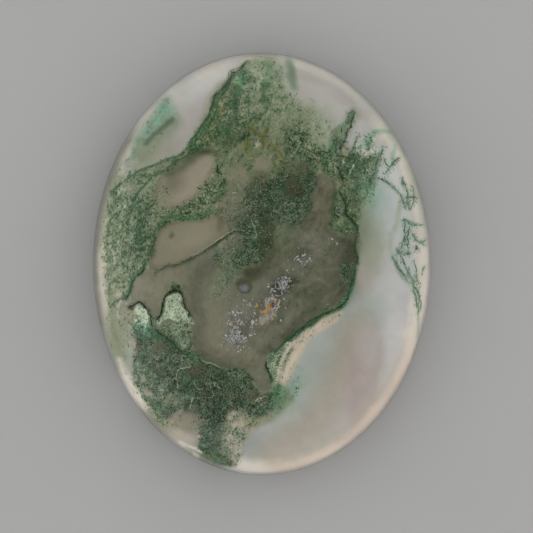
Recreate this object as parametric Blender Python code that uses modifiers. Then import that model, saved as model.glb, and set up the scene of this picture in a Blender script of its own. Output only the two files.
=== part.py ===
"""Moss agate cabochon: one oval stone, cut and polished with a domed top, a narrow girdle and a flat base.

The stone lies on its flat base, which is the plane Z = 0, with its long axis along Y. Units are metres.
"""

import math

import bpy

MM = 0.001

# Driving dimensions of the finished stone
LENGTH = 40.0 * MM
WIDTH = 32.0 * MM
HEIGHT = 8.0 * MM
GIRDLE_HEIGHT = 1.4 * MM
GIRDLE_LEAN = 0.2 * MM
BASE_BEVEL = 0.35 * MM

# A power of 2 makes the dome half an ellipse; a little more fills out its shoulder
DOME_POWER = 2.1

# Facets of the solid
DOME_POINTS = 28
STEPS_ROUND = 112
SEAM_MERGE = 1e-6

# Average look of the stone
STONE_COLOUR = (0.205, 0.215, 0.172, 1.0)
POLISH_ROUGHNESS = 0.08
CHALCEDONY_IOR = 1.54


def clear_scene():
    """Removes whatever the file holds at the start."""
    for old in list(bpy.data.objects):
        bpy.data.objects.remove(old)


def new_collection(name):
    """A collection for the stone, linked to the scene."""
    collection = bpy.data.collections.new(name)
    bpy.context.scene.collection.children.link(collection)
    return collection


def polished_stone():
    """The material of the whole stone: dull green-grey chalcedony under a polish."""
    material = bpy.data.materials.new("moss_agate")
    material.use_nodes = True
    shader = material.node_tree.nodes["Principled BSDF"]
    shader.inputs["Base Color"].default_value = STONE_COLOUR
    shader.inputs["Roughness"].default_value = POLISH_ROUGHNESS
    shader.inputs["Metallic"].default_value = 0.0
    shader.inputs["IOR"].default_value = CHALCEDONY_IOR
    return material


def dome_profile(radius):
    """Points (r, z) down the dome, from its top to the upper edge of the girdle."""
    rise = HEIGHT - GIRDLE_HEIGHT
    points = []
    for i in range(DOME_POINTS + 1):
        angle = 0.5 * math.pi * i / DOME_POINTS
        out = math.sin(angle) ** (2.0 / DOME_POWER)
        up = max(math.cos(angle), 0.0) ** (2.0 / DOME_POWER)
        points.append((radius * out, GIRDLE_HEIGHT + rise * up))
    return points


def stone_profile():
    """The stone's outline from the top of the dome, down its outer side, to the middle of the base."""
    foot = 0.5 * WIDTH
    points = dome_profile(foot - GIRDLE_LEAN)
    points.append((foot, BASE_BEVEL))
    points.append((foot - BASE_BEVEL, 0.0))
    points.append((0.0, 0.0))
    return points


def round_blank(collection):
    """A round stone of the finished width, turned from the profile."""
    points = [(r, 0.0, z) for r, z in stone_profile()]
    edges = [(i, i + 1) for i in range(len(points) - 1)]
    mesh = bpy.data.meshes.new("blank")
    mesh.from_pydata(points, edges, [])
    blank = bpy.data.objects.new("blank", mesh)
    collection.objects.link(blank)
    turn = blank.modifiers.new("turn", "SCREW")
    turn.steps = STEPS_ROUND
    turn.render_steps = STEPS_ROUND
    turn.use_merge_vertices = True
    turn.merge_threshold = SEAM_MERGE
    turn.use_smooth_shade = True
    return blank


def cabochon(collection):
    """The finished stone: the round blank with its long axis drawn out along Y, smooth except at the edges of the base."""
    blank = round_blank(collection)
    graph = bpy.context.evaluated_depsgraph_get()
    mesh = bpy.data.meshes.new_from_object(blank.evaluated_get(graph))
    bpy.data.objects.remove(blank)
    mesh.name = "cabochon"
    for vertex in mesh.vertices:
        vertex.co.y *= LENGTH / WIDTH
    mesh.shade_smooth()
    mesh.set_sharp_from_angle(angle=math.radians(30.0))
    mesh.materials.clear()
    mesh.materials.append(polished_stone())
    stone = bpy.data.objects.new("cabochon", mesh)
    collection.objects.link(stone)
    return stone


def main():
    clear_scene()
    cabochon(new_collection("moss_agate_cabochon"))


main()
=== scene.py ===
"""Looks of the moss agate cabochon: a polished see-through skin over clouded chalcedony and green moss.

The scene is in metres in the part's own frame: the flat base lies on Z = 0 and the long axis runs along Y.
Places on the stone are given in millimetres from its middle, X to the right and Y up, as seen from above.
"""

import math

import bpy
import numpy as np
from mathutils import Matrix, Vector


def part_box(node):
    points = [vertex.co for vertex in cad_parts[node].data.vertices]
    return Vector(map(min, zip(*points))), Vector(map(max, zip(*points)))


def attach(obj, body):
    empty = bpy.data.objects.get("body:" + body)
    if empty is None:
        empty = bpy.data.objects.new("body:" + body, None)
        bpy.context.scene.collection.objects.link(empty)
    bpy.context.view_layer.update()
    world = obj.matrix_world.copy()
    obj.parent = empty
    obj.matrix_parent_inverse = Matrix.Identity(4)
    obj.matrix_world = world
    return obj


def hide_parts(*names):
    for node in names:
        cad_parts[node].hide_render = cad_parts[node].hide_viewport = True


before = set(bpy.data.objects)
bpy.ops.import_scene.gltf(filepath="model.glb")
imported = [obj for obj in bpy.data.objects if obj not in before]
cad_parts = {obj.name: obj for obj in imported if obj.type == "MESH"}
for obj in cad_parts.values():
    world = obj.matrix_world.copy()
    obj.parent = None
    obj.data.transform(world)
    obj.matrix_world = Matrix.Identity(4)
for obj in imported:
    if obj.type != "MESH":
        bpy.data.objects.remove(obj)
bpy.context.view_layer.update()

MM = 0.001
LOW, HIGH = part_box("cabochon")

# Outer form, the same as the solid's, in millimetres
HALF_WIDTH = 0.5 * (HIGH.x - LOW.x) / MM
STRETCH = (HIGH.y - LOW.y) / (HIGH.x - LOW.x)
HEIGHT = HIGH.z / MM
GIRDLE_HEIGHT = 1.4
GIRDLE_LEAN = 0.2
BASE_BEVEL = 0.35
DOME_POWER = 2.1
SHOULDER = HALF_WIDTH - GIRDLE_LEAN

# How finely the outer form is divided: steps down the dome, the girdle and the bevel, and steps around
DOME_STEPS = 72
GIRDLE_STEPS = 4
BEVEL_STEPS = 8
BASE_SHARES = (0.98, 0.9, 0.7, 0.4, 0.2)
STEPS_AROUND = 224

# How far inside the polish the clouded chalcedony starts, at the top, the side and the base
SKIN_TOP = 0.35
SKIN_SIDE = 0.28
SKIN_BASE = 0.25
CHALCEDONY_IOR = 1.54

# The clouded chalcedony: how much it widens to its foot, how high its shoulder and its lowest hollow lie,
# and how many rings its painted top has
FOOT_FLARE = 0.12
CLOUD_SHOULDER = GIRDLE_HEIGHT - 0.1
CLOUD_LOWEST = 0.8
CLOUD_RINGS = 178

# The photograph shows next to no reflections, so the polish mirrors less than its IOR alone would give
POLISH_SHINE = (0.35, 0.35, 0.35)

# The clear stone is colourless, a touch greyer in some places than in others
SKIN_GREYEST = (0.945, 0.945, 0.94)
SKIN_CLEAREST = (0.98, 0.98, 0.975)

# Farther out than this share of the way the dome is too steep to look through
STEEP = 0.97

# The photograph, seen straight from above
FIELD = 50.6 * MM
VIEW_CENTRE = (0.446 * MM, -0.24 * MM)
CAMERA_HEIGHT = 0.4
CAMERA_NEAR = 0.01
SENSOR = 36.0

# Floor, and a sky that is white low down and dim overhead; its heights go from 0 to 1 overhead
FLOOR_SIZE = 4.0
FLOOR_GAP = 0.00005
FLOOR_DARK = (0.37, 0.37, 0.365)
FLOOR_LIGHT = (0.40, 0.40, 0.395)
SKY_WHITE = (1.0, 1.0, 1.0, 1.0)
SKY_DIM = (0.14, 0.14, 0.14, 1.0)
SKY_WHITE_UP_TO = 0.55
SKY_DIM_FROM = 0.85
SKY_STRENGTH = 1.72

# What the polish does to a colour below it: the share that is seen, the share that is thrown back on the
# stone, and a faint veil over all; no colour is laid lighter than the last value
POLISH_GAIN = 0.48
POLISH_BOUNCE = 0.2
POLISH_VEIL = 0.005
LIGHTEST = 0.97

# The steep part of the dome is seen darker, so its red, green and blue are laid lighter by these shares
SLOPE_GAIN = np.array((0.15, 0.14, 0.19))

# Random hills: the size of the table they are drawn from, and where in it they start
HILL_TABLE = 64
HILL_SHIFT = 500.0

# Painted edges wander by coarse and fine hills, in millimetres: how far, and how wide the hills are
COARSE_WANDER, COARSE_SIZE = 0.09, 0.8
FINE_WANDER, FINE_SIZE = 0.05, 0.3

# These stand for a long way off, and for lengths that are too small to divide by
FAR = 1e9
TINY = 1e-12
SHORTEST = 1e-9


def linear(red, green, blue):
    """A linear colour from the 0 to 255 values a screen shows."""
    values = np.array((red, green, blue), float) / 255.0
    return np.where(values <= 0.04045, values / 12.92, ((values + 0.055) / 1.055) ** 2.4)


def stone(red, green, blue):
    """The colour that a surface under the polish needs to be seen as these 0 to 255 values."""
    seen = np.maximum(linear(red, green, blue) - POLISH_VEIL, 0.001)
    needed = seen / (POLISH_GAIN + POLISH_BOUNCE * seen)
    return needed * min(1.0, LIGHTEST / needed.max())


# Random hills and smooth lines

def hills(x, y, size, seed):
    """Smooth random values from -1 to 1, with hills about size millimetres across."""
    table = np.random.default_rng(seed).uniform(-1.0, 1.0, (HILL_TABLE, HILL_TABLE))
    u, v = x / size + HILL_SHIFT, y / size + HILL_SHIFT
    i, j = np.floor(u).astype(int), np.floor(v).astype(int)
    s, t = u - i, v - j
    s, t = s * s * (3.0 - 2.0 * s), t * t * (3.0 - 2.0 * t)
    i, j = i % HILL_TABLE, j % HILL_TABLE
    i_next, j_next = (i + 1) % HILL_TABLE, (j + 1) % HILL_TABLE
    low = table[i, j] * (1.0 - s) + table[i_next, j] * s
    high = table[i, j_next] * (1.0 - s) + table[i_next, j_next] * s
    return low * (1.0 - t) + high * t


def smooth_line(points, closed=False, spans=6):
    """Points along a smooth curve that passes through the given ones."""
    p = np.array(points, float)
    if closed:
        p = np.concatenate([p[-1:], p, p[:2]])
    else:
        p = np.concatenate([2.0 * p[:1] - p[1:2], p, 2.0 * p[-1:] - p[-2:-1]])
    t = (np.arange(spans) / spans)[None, :, None]
    a, b, c, d = (q[:, None, :] for q in (p[:-3], p[1:-2], p[2:-1], p[3:]))
    curve = 0.5 * (2 * b + (c - a) * t + (2 * a - 5 * b + 4 * c - d) * t**2 + (3 * b - a - 3 * c + d) * t**3)
    curve = curve.reshape(-1, p.shape[1])
    return curve if closed else np.concatenate([curve, p[-2:-1]])


def ease(value, low, high):
    """0 below low, 1 above high and a smooth rise between them."""
    t = np.clip((value - low) / (high - low), 0.0, 1.0)
    return t * t * (3.0 - 2.0 * t)


# Outer form

def dome(u):
    """Height of the outer surface; u is 0 in the middle and 1 at the girdle."""
    rise = HEIGHT - GIRDLE_HEIGHT
    return GIRDLE_HEIGHT + rise * (1.0 - np.clip(u, 0.0, 1.0) ** DOME_POWER) ** (1.0 / DOME_POWER)


def out_from_middle(x, y, radius=SHOULDER):
    """The share of the way from the middle to the edge of an oval with this half width."""
    return np.hypot(x, y / STRETCH) / radius


def seen_place(x, y, depth):
    """Where a point this deep under the dome is seen from straight above, through the polish."""
    step = 0.01
    u = np.minimum(out_from_middle(x, y), STEEP)
    slope = (dome(u) - dome(u + step)) / (step * SHOULDER)
    lean = np.arctan(slope)
    shift = depth * np.tan(lean - np.arcsin(np.sin(lean) / CHALCEDONY_IOR))
    away_x, away_y = x, y / STRETCH**2
    length = np.maximum(np.hypot(away_x, away_y), 0.001)
    return x + shift * away_x / length, y + shift * away_y / length


class Gem:
    """What the chalcedony holds at points (x, y): its colour and the growths in it.

    The growths are green mottling, a fine dark net and pale fibres; like the smoke they go from 0 to 1.
    """

    def __init__(self, x, y):
        self.x = x + COARSE_WANDER * hills(x, y, COARSE_SIZE, 1) + FINE_WANDER * hills(x, y, FINE_SIZE, 2)
        self.y = y + COARSE_WANDER * hills(x, y, COARSE_SIZE, 3) + FINE_WANDER * hills(x, y, FINE_SIZE, 4)
        self.colour = np.zeros((len(x), 3))
        self.growth = np.zeros((len(x), 3))
        self.smoke = np.zeros(len(x))
        # Where the dome's shoulder is laid lighter as painted light
        self.shoulder = np.zeros(len(x))

    def lay(self, mask, colour, share, growth=None):
        """Lays a colour over what is there and lets the growths come or go with it."""
        if colour is not None:
            self.colour += (colour - self.colour) * (mask * share)[:, None]
        if growth is not None:
            self.growth += (np.array(growth) - self.growth) * mask[:, None]

    def oval(self, place, size, turn=0.0, soft=0.7):
        """1 inside an oval, 0 outside, with a soft edge."""
        angle = math.radians(turn)
        dx, dy = self.x - place[0], self.y - place[1]
        along = (dx * math.cos(angle) + dy * math.sin(angle)) / size[0]
        across = (dy * math.cos(angle) - dx * math.sin(angle)) / size[1]
        return 1.0 - ease(np.hypot(along, across), 1.0 - soft, 1.0 + soft)

    def near(self, line, reach):
        """The points within reach of the box around a line."""
        low, high = line.min(0) - reach, line.max(0) + reach
        beside = (self.x > low[0]) & (self.x < high[0])
        return np.flatnonzero(beside & (self.y > low[1]) & (self.y < high[1]))

    def distance(self, line, pick):
        """How far the picked points are from a line."""
        x, y = self.x[pick], self.y[pick]
        best = np.full(len(pick), FAR)
        for (ax, ay), (bx, by) in zip(line[:-1], line[1:]):
            ux, uy = bx - ax, by - ay
            t = np.clip(((x - ax) * ux + (y - ay) * uy) / (ux * ux + uy * uy + TINY), 0.0, 1.0)
            best = np.minimum(best, (x - ax - t * ux) ** 2 + (y - ay - t * uy) ** 2)
        return np.sqrt(best)

    def band(self, points, width, soft=0.2):
        """1 along a smooth line of this width, 0 away from it."""
        line = smooth_line(points, spans=4)
        pick = self.near(line, width + soft)
        mask = np.zeros(len(self.x))
        mask[pick] = 1.0 - ease(self.distance(line, pick), 0.5 * width - 0.5 * soft, 0.5 * width + soft)
        return mask

    def area(self, points, soft=0.15):
        """1 inside a smooth closed outline, 0 outside."""
        line = smooth_line(points, closed=True, spans=4)
        line = np.concatenate([line, line[:1]])
        pick = self.near(line, 2.0 * soft + 0.2)
        x, y = self.x[pick], self.y[pick]
        inside = np.zeros(len(pick), bool)
        for (ax, ay), (bx, by) in zip(line[:-1], line[1:]):
            crosses = (ay > y) != (by > y)
            inside ^= crosses & (x < (bx - ax) * (y - ay) / (by - ay + TINY) + ax)
        signed = self.distance(line, pick) * np.where(inside, 1.0, -1.0)
        mask = np.zeros(len(self.x))
        mask[pick] = ease(signed, -soft, soft)
        return mask

    def spot(self, colour, place, size, turn=0.0, soft=0.7, share=0.85, growth=None):
        """An oval patch; size is its half width and half height before it turns by so many degrees."""
        self.lay(self.oval(place, size, turn, soft), colour, share, growth)

    def streak(self, colour, width, points, soft=0.25, share=0.85, growth=None):
        """A band along a smooth line."""
        self.lay(self.band(points, width, soft), colour, share, growth)

    def fill(self, colour, points, soft=0.15, share=1.0, growth=None):
        """The inside of a smooth closed outline."""
        self.lay(self.area(points, soft), colour, share, growth)

    def blotch(self, colour, points, size, seed, share):
        """Random blotches about size millimetres across, inside an outline."""
        self.lay(self.area(points, 0.3) * ease(hills(self.x, self.y, size, seed), 0.1, 0.55), colour, share)


# How patches darken and lighten the stone, the way in degrees that they run and how long they stretch

DARKER = (0.50, 0.68, 0.55)
LIGHTER = (1.44, 1.42, 1.38)
SLANT = 62.0
SLANT_STRETCH = 1.35

# Outlines of the main features

WINDOW = [
    (8.9, 3.2), (8.65, 1.5), (8.95, 0.6), (8.8, -0.2), (7.7, -2.8), (6.3, -4.1), (4.2, -5.6), (1.2, -8.1),
    (0.6, -8.6), (0.45, -9.2), (0.95, -10.5), (1.0, -11.2), (0.6, -11.8), (0.0, -11.85), (-0.5, -11.4),
    (-1.1, -10.3), (-2.0, -9.9), (-3.4, -9.7), (-4.9, -9.3), (-5.7, -8.8), (-6.3, -8.2), (-9.0, -6.8),
    (-10.2, -6.0), (-11.4, -5.6), (-12.1, -4.6), (-12.2, -2.0), (-11.2, -0.7), (-10.0, -0.4), (-9.2, -0.5),
    (-7.4, 0.1), (-5.8, 0.8), (-4.2, 1.7), (-2.6, 1.2), (-2.0, -0.4), (-0.4, -0.2), (0.8, 0.8), (1.4, 3.2),
    (3.6, 4.0), (4.4, 5.6), (5.0, 7.6), (5.8, 8.6), (6.9, 7.6), (6.9, 6.2), (6.4, 4.6), (6.2, 3.5),
    (7.6, 3.0),
]
DEEP_WINDOW = [
    (8.4, 2.2), (8.4, 0.6), (8.0, -1.6), (6.8, -3.4), (4.6, -4.9), (0.2, -8.4), (-1.2, -9.2), (-4.6, -8.6),
    (-5.8, -7.4), (-6.0, -4.8), (-6.4, -2.4), (-5.6, -0.6), (-4.0, 0.2), (-2.4, -0.9), (0.6, 0.2),
    (2.0, 2.4), (4.2, 3.6), (5.6, 4.6), (6.0, 3.4),
]
MIDDLE_GROUND = [
    (-1.0, 19.8), (-2.9, 18.1), (-4.6, 15.6), (-5.3, 13.5), (-6.9, 11.2), (-9.6, 9.9), (-12.4, 9.0),
    (-14.4, 7.0), (-15.1, 3.0), (-15.0, -1.0), (-14.4, -4.4), (-12.4, -6.0), (-12.1, -9.3), (-11.2, -12.4),
    (-9.2, -14.8), (-6.4, -15.6), (-6.0, -17.6), (-4.4, -19.0), (-2.4, -19.2), (-1.6, -16.6), (0.6, -14.6),
    (2.8, -12.4), (1.6, -10.4), (3.4, -6.6), (7.2, -4.2), (8.8, -1.4), (9.2, 4.0), (10.2, 6.4), (10.4, 9.4),
    (8.4, 10.8), (6.4, 12.6), (4.6, 14.0), (2.4, 16.0), (1.0, 19.2),
]
PLUME = [
    (-0.4, 18.6), (-1.4, 18.5), (-2.8, 17.7), (-3.7, 16.45), (-4.55, 15.55), (-5.1, 13.8), (-6.95, 11.1),
    (-7.3, 10.4), (-6.6, 10.3), (-4.2, 11.3), (-3.0, 11.2), (-2.4, 12.2), (-1.0, 13.0), (0.2, 13.4),
    (0.6, 14.6), (0.3, 16.8), (0.4, 18.9),
]
LEFT_MASS = [
    (-9.8, 8.6), (-10.1, 7.2), (-10.0, 5.6), (-9.7, 4.6), (-10.0, 1.6), (-10.3, 0.8), (-12.3, -1.8),
    (-12.6, -2.9), (-13.6, -3.2), (-14.4, -4.4), (-14.8, -2.0), (-15.0, 1.0), (-14.7, 4.0), (-14.2, 6.4),
    (-13.0, 7.8), (-11.4, 8.5),
]
NET_BAND = [
    (-10.2, 5.3), (-9.4, 5.25), (-8.1, 5.35), (-6.3, 6.3), (-5.2, 7.6), (-4.6, 8.1), (-4.25, 8.9),
    (-3.9, 8.95), (-3.6, 8.1), (-3.0, 7.5), (-3.1, 6.8), (-3.6, 6.1), (-4.4, 5.5), (-4.7, 4.7),
    (-5.6, 4.25), (-8.5, 3.9), (-9.3, 3.3), (-10.1, 3.2),
]
POCKET_HIGH = [
    (-1.6, 19.6), (-2.9, 18.2), (-3.4, 17.1), (-4.6, 15.7), (-4.9, 14.5), (-5.3, 13.5), (-6.4, 12.0),
    (-7.1, 10.8), (-8.2, 10.2), (-10.2, 9.4), (-11.6, 9.0), (-12.8, 9.4), (-13.0, 10.8), (-12.0, 12.4),
    (-10.4, 14.6), (-8.6, 16.4), (-5.6, 18.6),
]
POCKET_MIDDLE = [
    (-4.3, 10.2), (-4.5, 9.0), (-6.5, 6.3), (-8.2, 5.5), (-9.6, 5.5), (-10.1, 6.4), (-9.6, 7.6),
    (-8.8, 8.6), (-7.6, 9.6), (-6.2, 10.3),
]
POCKET_LOW = [
    (-9.8, 3.0), (-9.0, 3.6), (-7.3, 4.05), (-5.6, 4.2), (-4.0, 4.4), (-3.3, 3.8), (-3.2, 2.9), (-4.4, 2.0),
    (-7.0, 0.35), (-9.4, -0.35), (-10.4, 0.0), (-10.1, 1.2),
]
TOP_MOTTLE = [
    (1.0, 19.2), (1.8, 17.0), (3.2, 15.3), (5.4, 14.2), (6.0, 12.4), (5.6, 10.8), (4.6, 10.4), (2.4, 12.6),
    (0.4, 13.0), (-0.6, 15.6),
]
MIDDLE_MOTTLE = [
    (-2.4, 12.9), (-4.0, 11.6), (-4.6, 10.6), (-4.3, 9.2), (-3.4, 8.4), (-1.4, 8.3), (0.4, 8.2), (2.0, 8.6),
    (2.4, 10.2), (2.2, 12.2), (0.4, 13.2),
]
CENTRE_HIGH = [
    (1.9, 9.0), (2.3, 10.6), (2.1, 12.4), (3.0, 12.9), (4.0, 12.7), (4.9, 11.6), (5.3, 10.4), (5.1, 8.8),
    (3.4, 9.6),
]
CENTRE_MASS = [
    (-0.9, 7.7), (0.2, 8.2), (1.2, 8.0), (2.2, 8.8), (4.0, 9.4), (5.0, 8.6), (4.95, 7.4), (4.4, 6.2),
    (4.3, 5.1), (3.3, 3.8), (2.4, 3.5), (1.4, 3.8), (1.0, 3.0), (0.8, 1.5), (0.2, 0.6), (-0.7, 0.1),
    (-1.6, -0.1), (-2.3, -0.4), (-2.6, 0.4), (-2.2, 1.2), (-2.0, 2.6), (-2.4, 3.1), (-2.2, 3.9),
    (-1.4, 4.3), (-1.2, 5.4), (-1.6, 6.2),
]
RIGHT_MASS = [
    (7.3, 10.2), (8.2, 10.0), (10.4, 9.9), (11.2, 10.6), (10.7, 8.6), (10.6, 7.2), (10.2, 6.2), (9.4, 5.6),
    (9.0, 3.4), (8.7, 2.8), (7.5, 2.8), (6.7, 3.0), (6.3, 3.8), (7.0, 6.4), (7.2, 8.6),
]
PLUME_TIP = [
    (8.85, 14.55), (8.75, 14.0), (8.0, 12.3), (7.6, 10.8), (7.3, 10.2), (6.2, 10.6), (6.3, 11.4),
    (7.4, 13.1), (7.9, 13.8), (7.8, 14.5), (8.1, 14.25), (8.4, 14.55),
]
GHOST_BIG = [
    (-8.1, -2.8), (-7.55, -2.95), (-7.25, -4.0), (-6.9, -4.5), (-6.7, -4.95), (-6.2, -5.5), (-6.6, -5.6),
    (-7.25, -5.25), (-8.0, -5.3), (-8.9, -5.05), (-9.65, -5.6), (-9.85, -5.3), (-9.4, -4.95), (-9.2, -4.5),
    (-8.9, -3.25),
]
GHOST_SMALL = [
    (-11.6, -3.8), (-11.15, -4.0), (-10.8, -4.4), (-10.5, -5.05), (-10.45, -5.6), (-10.8, -6.0),
    (-11.6, -5.9), (-12.05, -4.75), (-12.0, -4.3),
]
SPINE = [(-0.9, 5.6), (-1.0, 4.4), (-0.8, 1.8), (-1.2, 0.8), (-2.0, 0.3)]
TRUNK = [
    (-5.6, -11.4), (-3.0, -11.4), (-3.2, -13.9), (-3.9, -15.6), (-4.2, -17.4), (-5.9, -17.4),
    (-5.7, -14.6),
]
LOW_MASS = [
    (-11.75, -5.6), (-11.7, -8.4), (-12.1, -9.3), (-11.8, -11.4), (-10.4, -13.7), (-9.3, -14.7),
    (-6.8, -14.0), (-5.9, -14.2), (-5.7, -15.2), (-6.0, -17.4), (-4.9, -18.6), (-2.7, -19.3), (-2.8, -18.7),
    (-3.5, -17.7), (-3.9, -16.7), (-3.6, -15.5), (-3.3, -14.4), (-2.2, -13.7), (-1.6, -14.4), (-0.4, -14.5),
    (0.6, -13.9), (1.4, -12.9), (1.6, -12.0), (1.2, -11.6), (1.1, -11.9), (0.2, -12.1), (-0.6, -11.7),
    (-0.9, -10.7), (-1.4, -10.2), (-2.4, -9.8), (-3.8, -9.7), (-5.2, -9.2), (-6.9, -7.8), (-9.7, -6.6),
    (-10.4, -6.0),
]
SAGE_WEDGE = [
    (0.55, -8.75), (1.2, -8.15), (3.1, -6.8), (2.3, -8.0), (1.75, -9.2), (1.4, -11.2), (0.5, -9.4),
]
CREAM_SLIVER = [
    (7.5, -4.5), (5.2, -5.4), (2.4, -7.9), (1.55, -10.0), (1.8, -11.1), (2.3, -11.4), (2.8, -10.4),
    (3.9, -8.0), (4.7, -6.9), (7.0, -5.4),
]

# Colours, as they are seen on the stone

WHITE = stone(226, 217, 207)
CREAM = stone(206, 197, 185)
PEACH = stone(208, 192, 177)
PEACH_DEEP = stone(182, 168, 148)
PALE = stone(179, 178, 173)
MILK = stone(166, 166, 161)
BLUE_MILK = stone(151, 158, 151)
GREY_CLEAR = stone(152, 149, 141)
MAUVE = stone(152, 142, 135)
TAN_PALE = stone(168, 159, 146)
TAN = stone(149, 141, 125)
BEIGE = stone(130, 126, 107)
WARM_SMOKE = stone(118, 113, 96)
SMOKE = stone(110, 110, 95)
BROWN = stone(99, 96, 77)
DARK_SMOKE = stone(86, 87, 70)
DEEP = stone(71, 72, 55)
SLATE = stone(112, 117, 118)
YELLOW = stone(180, 164, 122)
PALE_SAGE = stone(164, 174, 150)
SAGE = stone(160, 174, 147)
PALE_TEAL = stone(138, 160, 146)
TEAL = stone(106, 142, 122)
GREEN_GREY = stone(136, 143, 122)
LEAF_GREY = stone(122, 128, 104)
MOSS_MIXED = stone(104, 112, 87)
MOSS = stone(84, 95, 72)
FROND = stone(90, 130, 100)
MOSS_GREEN = stone(64, 108, 72)
MOSS_DARK = stone(42, 70, 46)
MOSS_BLACK = stone(30, 42, 27)
OLIVE = stone(108, 110, 68)
VIOLET = stone(92, 78, 108)
ORANGE = stone(204, 152, 70)
# Painted glint: the silvery colour of crack plates and threads that catch the light
SILVER_GLINT = stone(232, 235, 244)


def paint_ground(gem):
    """The clouded chalcedony, from clear grey to milky and cream."""
    gem.lay(np.ones(len(gem.x)), MILK, 1.0)
    gem.spot(PALE, (12.8, 9.0), (1.3, 3.4), 15, share=0.8)
    gem.spot(BLUE_MILK, (10.8, 4.2), (2.0, 3.6), share=0.8)
    gem.spot(GREEN_GREY, (10.2, 2.0), (1.3, 2.4), share=0.8)
    gem.spot(TAN, (9.4, -2.2), (0.9, 3.0), -22, share=0.5)
    gem.spot(GREY_CLEAR, (8.4, 15.0), (5.0, 3.6), -40, share=0.8)
    gem.spot(GREY_CLEAR, (3.4, 17.0), (3.0, 2.2))
    gem.streak(BLUE_MILK, 3.4, [(9.6, -4.8), (7.0, -7.0), (5.2, -9.8), (3.4, -13.0), (0.6, -15.6),
                                (-1.8, -17.2)], 1.4)
    gem.streak(TAN, 2.6, [(9.0, -6.4), (7.4, -10.6), (5.6, -14.2), (2.6, -16.9), (0.6, -18.2)], 1.8, 0.75)
    gem.fill(MAUVE, [(10.2, -5.4), (11.1, -7.0), (11.7, -8.8), (11.3, -10.4), (11.2, -12.0), (10.2, -14.2),
                     (8.6, -15.0), (7.6, -12.6), (8.2, -9.4), (8.8, -6.8)], 0.7, 0.95)
    gem.spot(MILK, (10.0, -7.6), (0.9, 1.6), 10, 0.9, 0.5)
    gem.streak(PALE, 1.0, [(12.8, -5.6), (11.8, -12.2)], 0.9, 0.5)
    gem.streak(TAN_PALE, 1.8, [(11.4, -12.8), (9.0, -15.4), (5.6, -17.6), (2.0, -18.7)], 0.9, 0.45)
    gem.spot(SLATE, (-1.3, -16.9), (1.5, 0.9), 20, 0.9, 0.4)
    gem.spot(LEAF_GREY, (-12.9, -5.8), (1.7, 2.6), 0, 0.6, 0.8, (0.35, 0.0, 0.0))
    gem.spot(BEIGE, (-7.6, -15.2), (2.2, 1.4), -20, 0.8, 0.9)


# Rim band: its inner edge wanders by this share over hills this wide, and is this soft to either side;
# each stretch of it fades over some degrees at its ends

RIM_WANDER = 0.006
RIM_HILLS = 2.0
RIM_SOFT_INSIDE = 0.04
RIM_SOFT_OUTSIDE = 0.02
RIM_SOFT_ENDS = 5.0


def rim_zone(gem, start, end, colour, share, inner):
    """A stretch of the rim between two directions in degrees, farther out than the share inner."""
    turn = np.degrees(np.arctan2(gem.y / STRETCH, gem.x))
    away = np.abs((turn - 0.5 * (start + end) + 180.0) % 360.0 - 180.0) - 0.5 * abs(end - start)
    out = out_from_middle(gem.x, gem.y) + RIM_WANDER * hills(gem.x, gem.y, RIM_HILLS, 11)
    mask = ease(out, inner - RIM_SOFT_INSIDE, inner + RIM_SOFT_OUTSIDE)
    mask = mask * (1.0 - ease(away, -RIM_SOFT_ENDS, RIM_SOFT_ENDS))
    gem.lay(mask, colour, share)


def paint_rim_with_painted_light(gem):
    """The band where the clouded stone comes up to the polish: painted light glowing through the thin edge
    and lightening where the steep shoulder comes out darker, a painted shadow along the far left edge, and
    moss colours where moss reaches it.
    """
    # Pale rows are painted light glowing through the thin edge; the smoke row from 140 to 200 degrees,
    # farthest out, is a painted shadow of the left edge; green and beige rows are moss
    for start, end, colour, share, inner in (
        (-90, -24, PEACH, 0.7, 0.965), (-70, -20, PEACH, 0.9, 0.985), (-40, -8, PEACH, 0.4, 0.93),
        (-24, 8, CREAM, 0.8, 0.92), (8, 46, CREAM, 0.7, 0.945), (46, 100, PALE, 0.4, 0.965),
        (54, 104, CREAM, 0.5, 0.985), (100, 128, PALE, 0.7, 0.92), (104, 113, CREAM, 0.7, 0.97),
        (124, 150, CREAM, 1.0, 0.935), (150, 163, GREEN_GREY, 0.35, 0.92), (163, 200, CREAM, 0.85, 0.93),
        (158, 176, GREEN_GREY, 0.6, 0.9), (202, 212, GREEN_GREY, 0.7, 0.9), (212, 224, CREAM, 0.9, 0.95),
        (214, 221, WHITE, 0.6, 0.97), (224, 234, LEAF_GREY, 0.7, 0.94), (234, 246, TAN_PALE, 0.7, 0.94),
        (246, 258, MOSS_MIXED, 0.8, 0.9), (259, 272, WHITE, 0.9, 0.945), (10, 42, GREEN_GREY, 0.6, 0.99),
        (140, 200, SMOKE, 0.9, 0.99), (224, 234, BEIGE, 0.6, 0.99),
    ):
        rim_zone(gem, start, end, colour, share, inner)
    # The shoulder ring, which vary_tone lays lighter as painted light
    ring = out_from_middle(gem.x, gem.y)
    gem.shoulder = ease(ring, 0.92, 0.96) * (1.0 - ease(ring, 0.98, 1.0))


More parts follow.
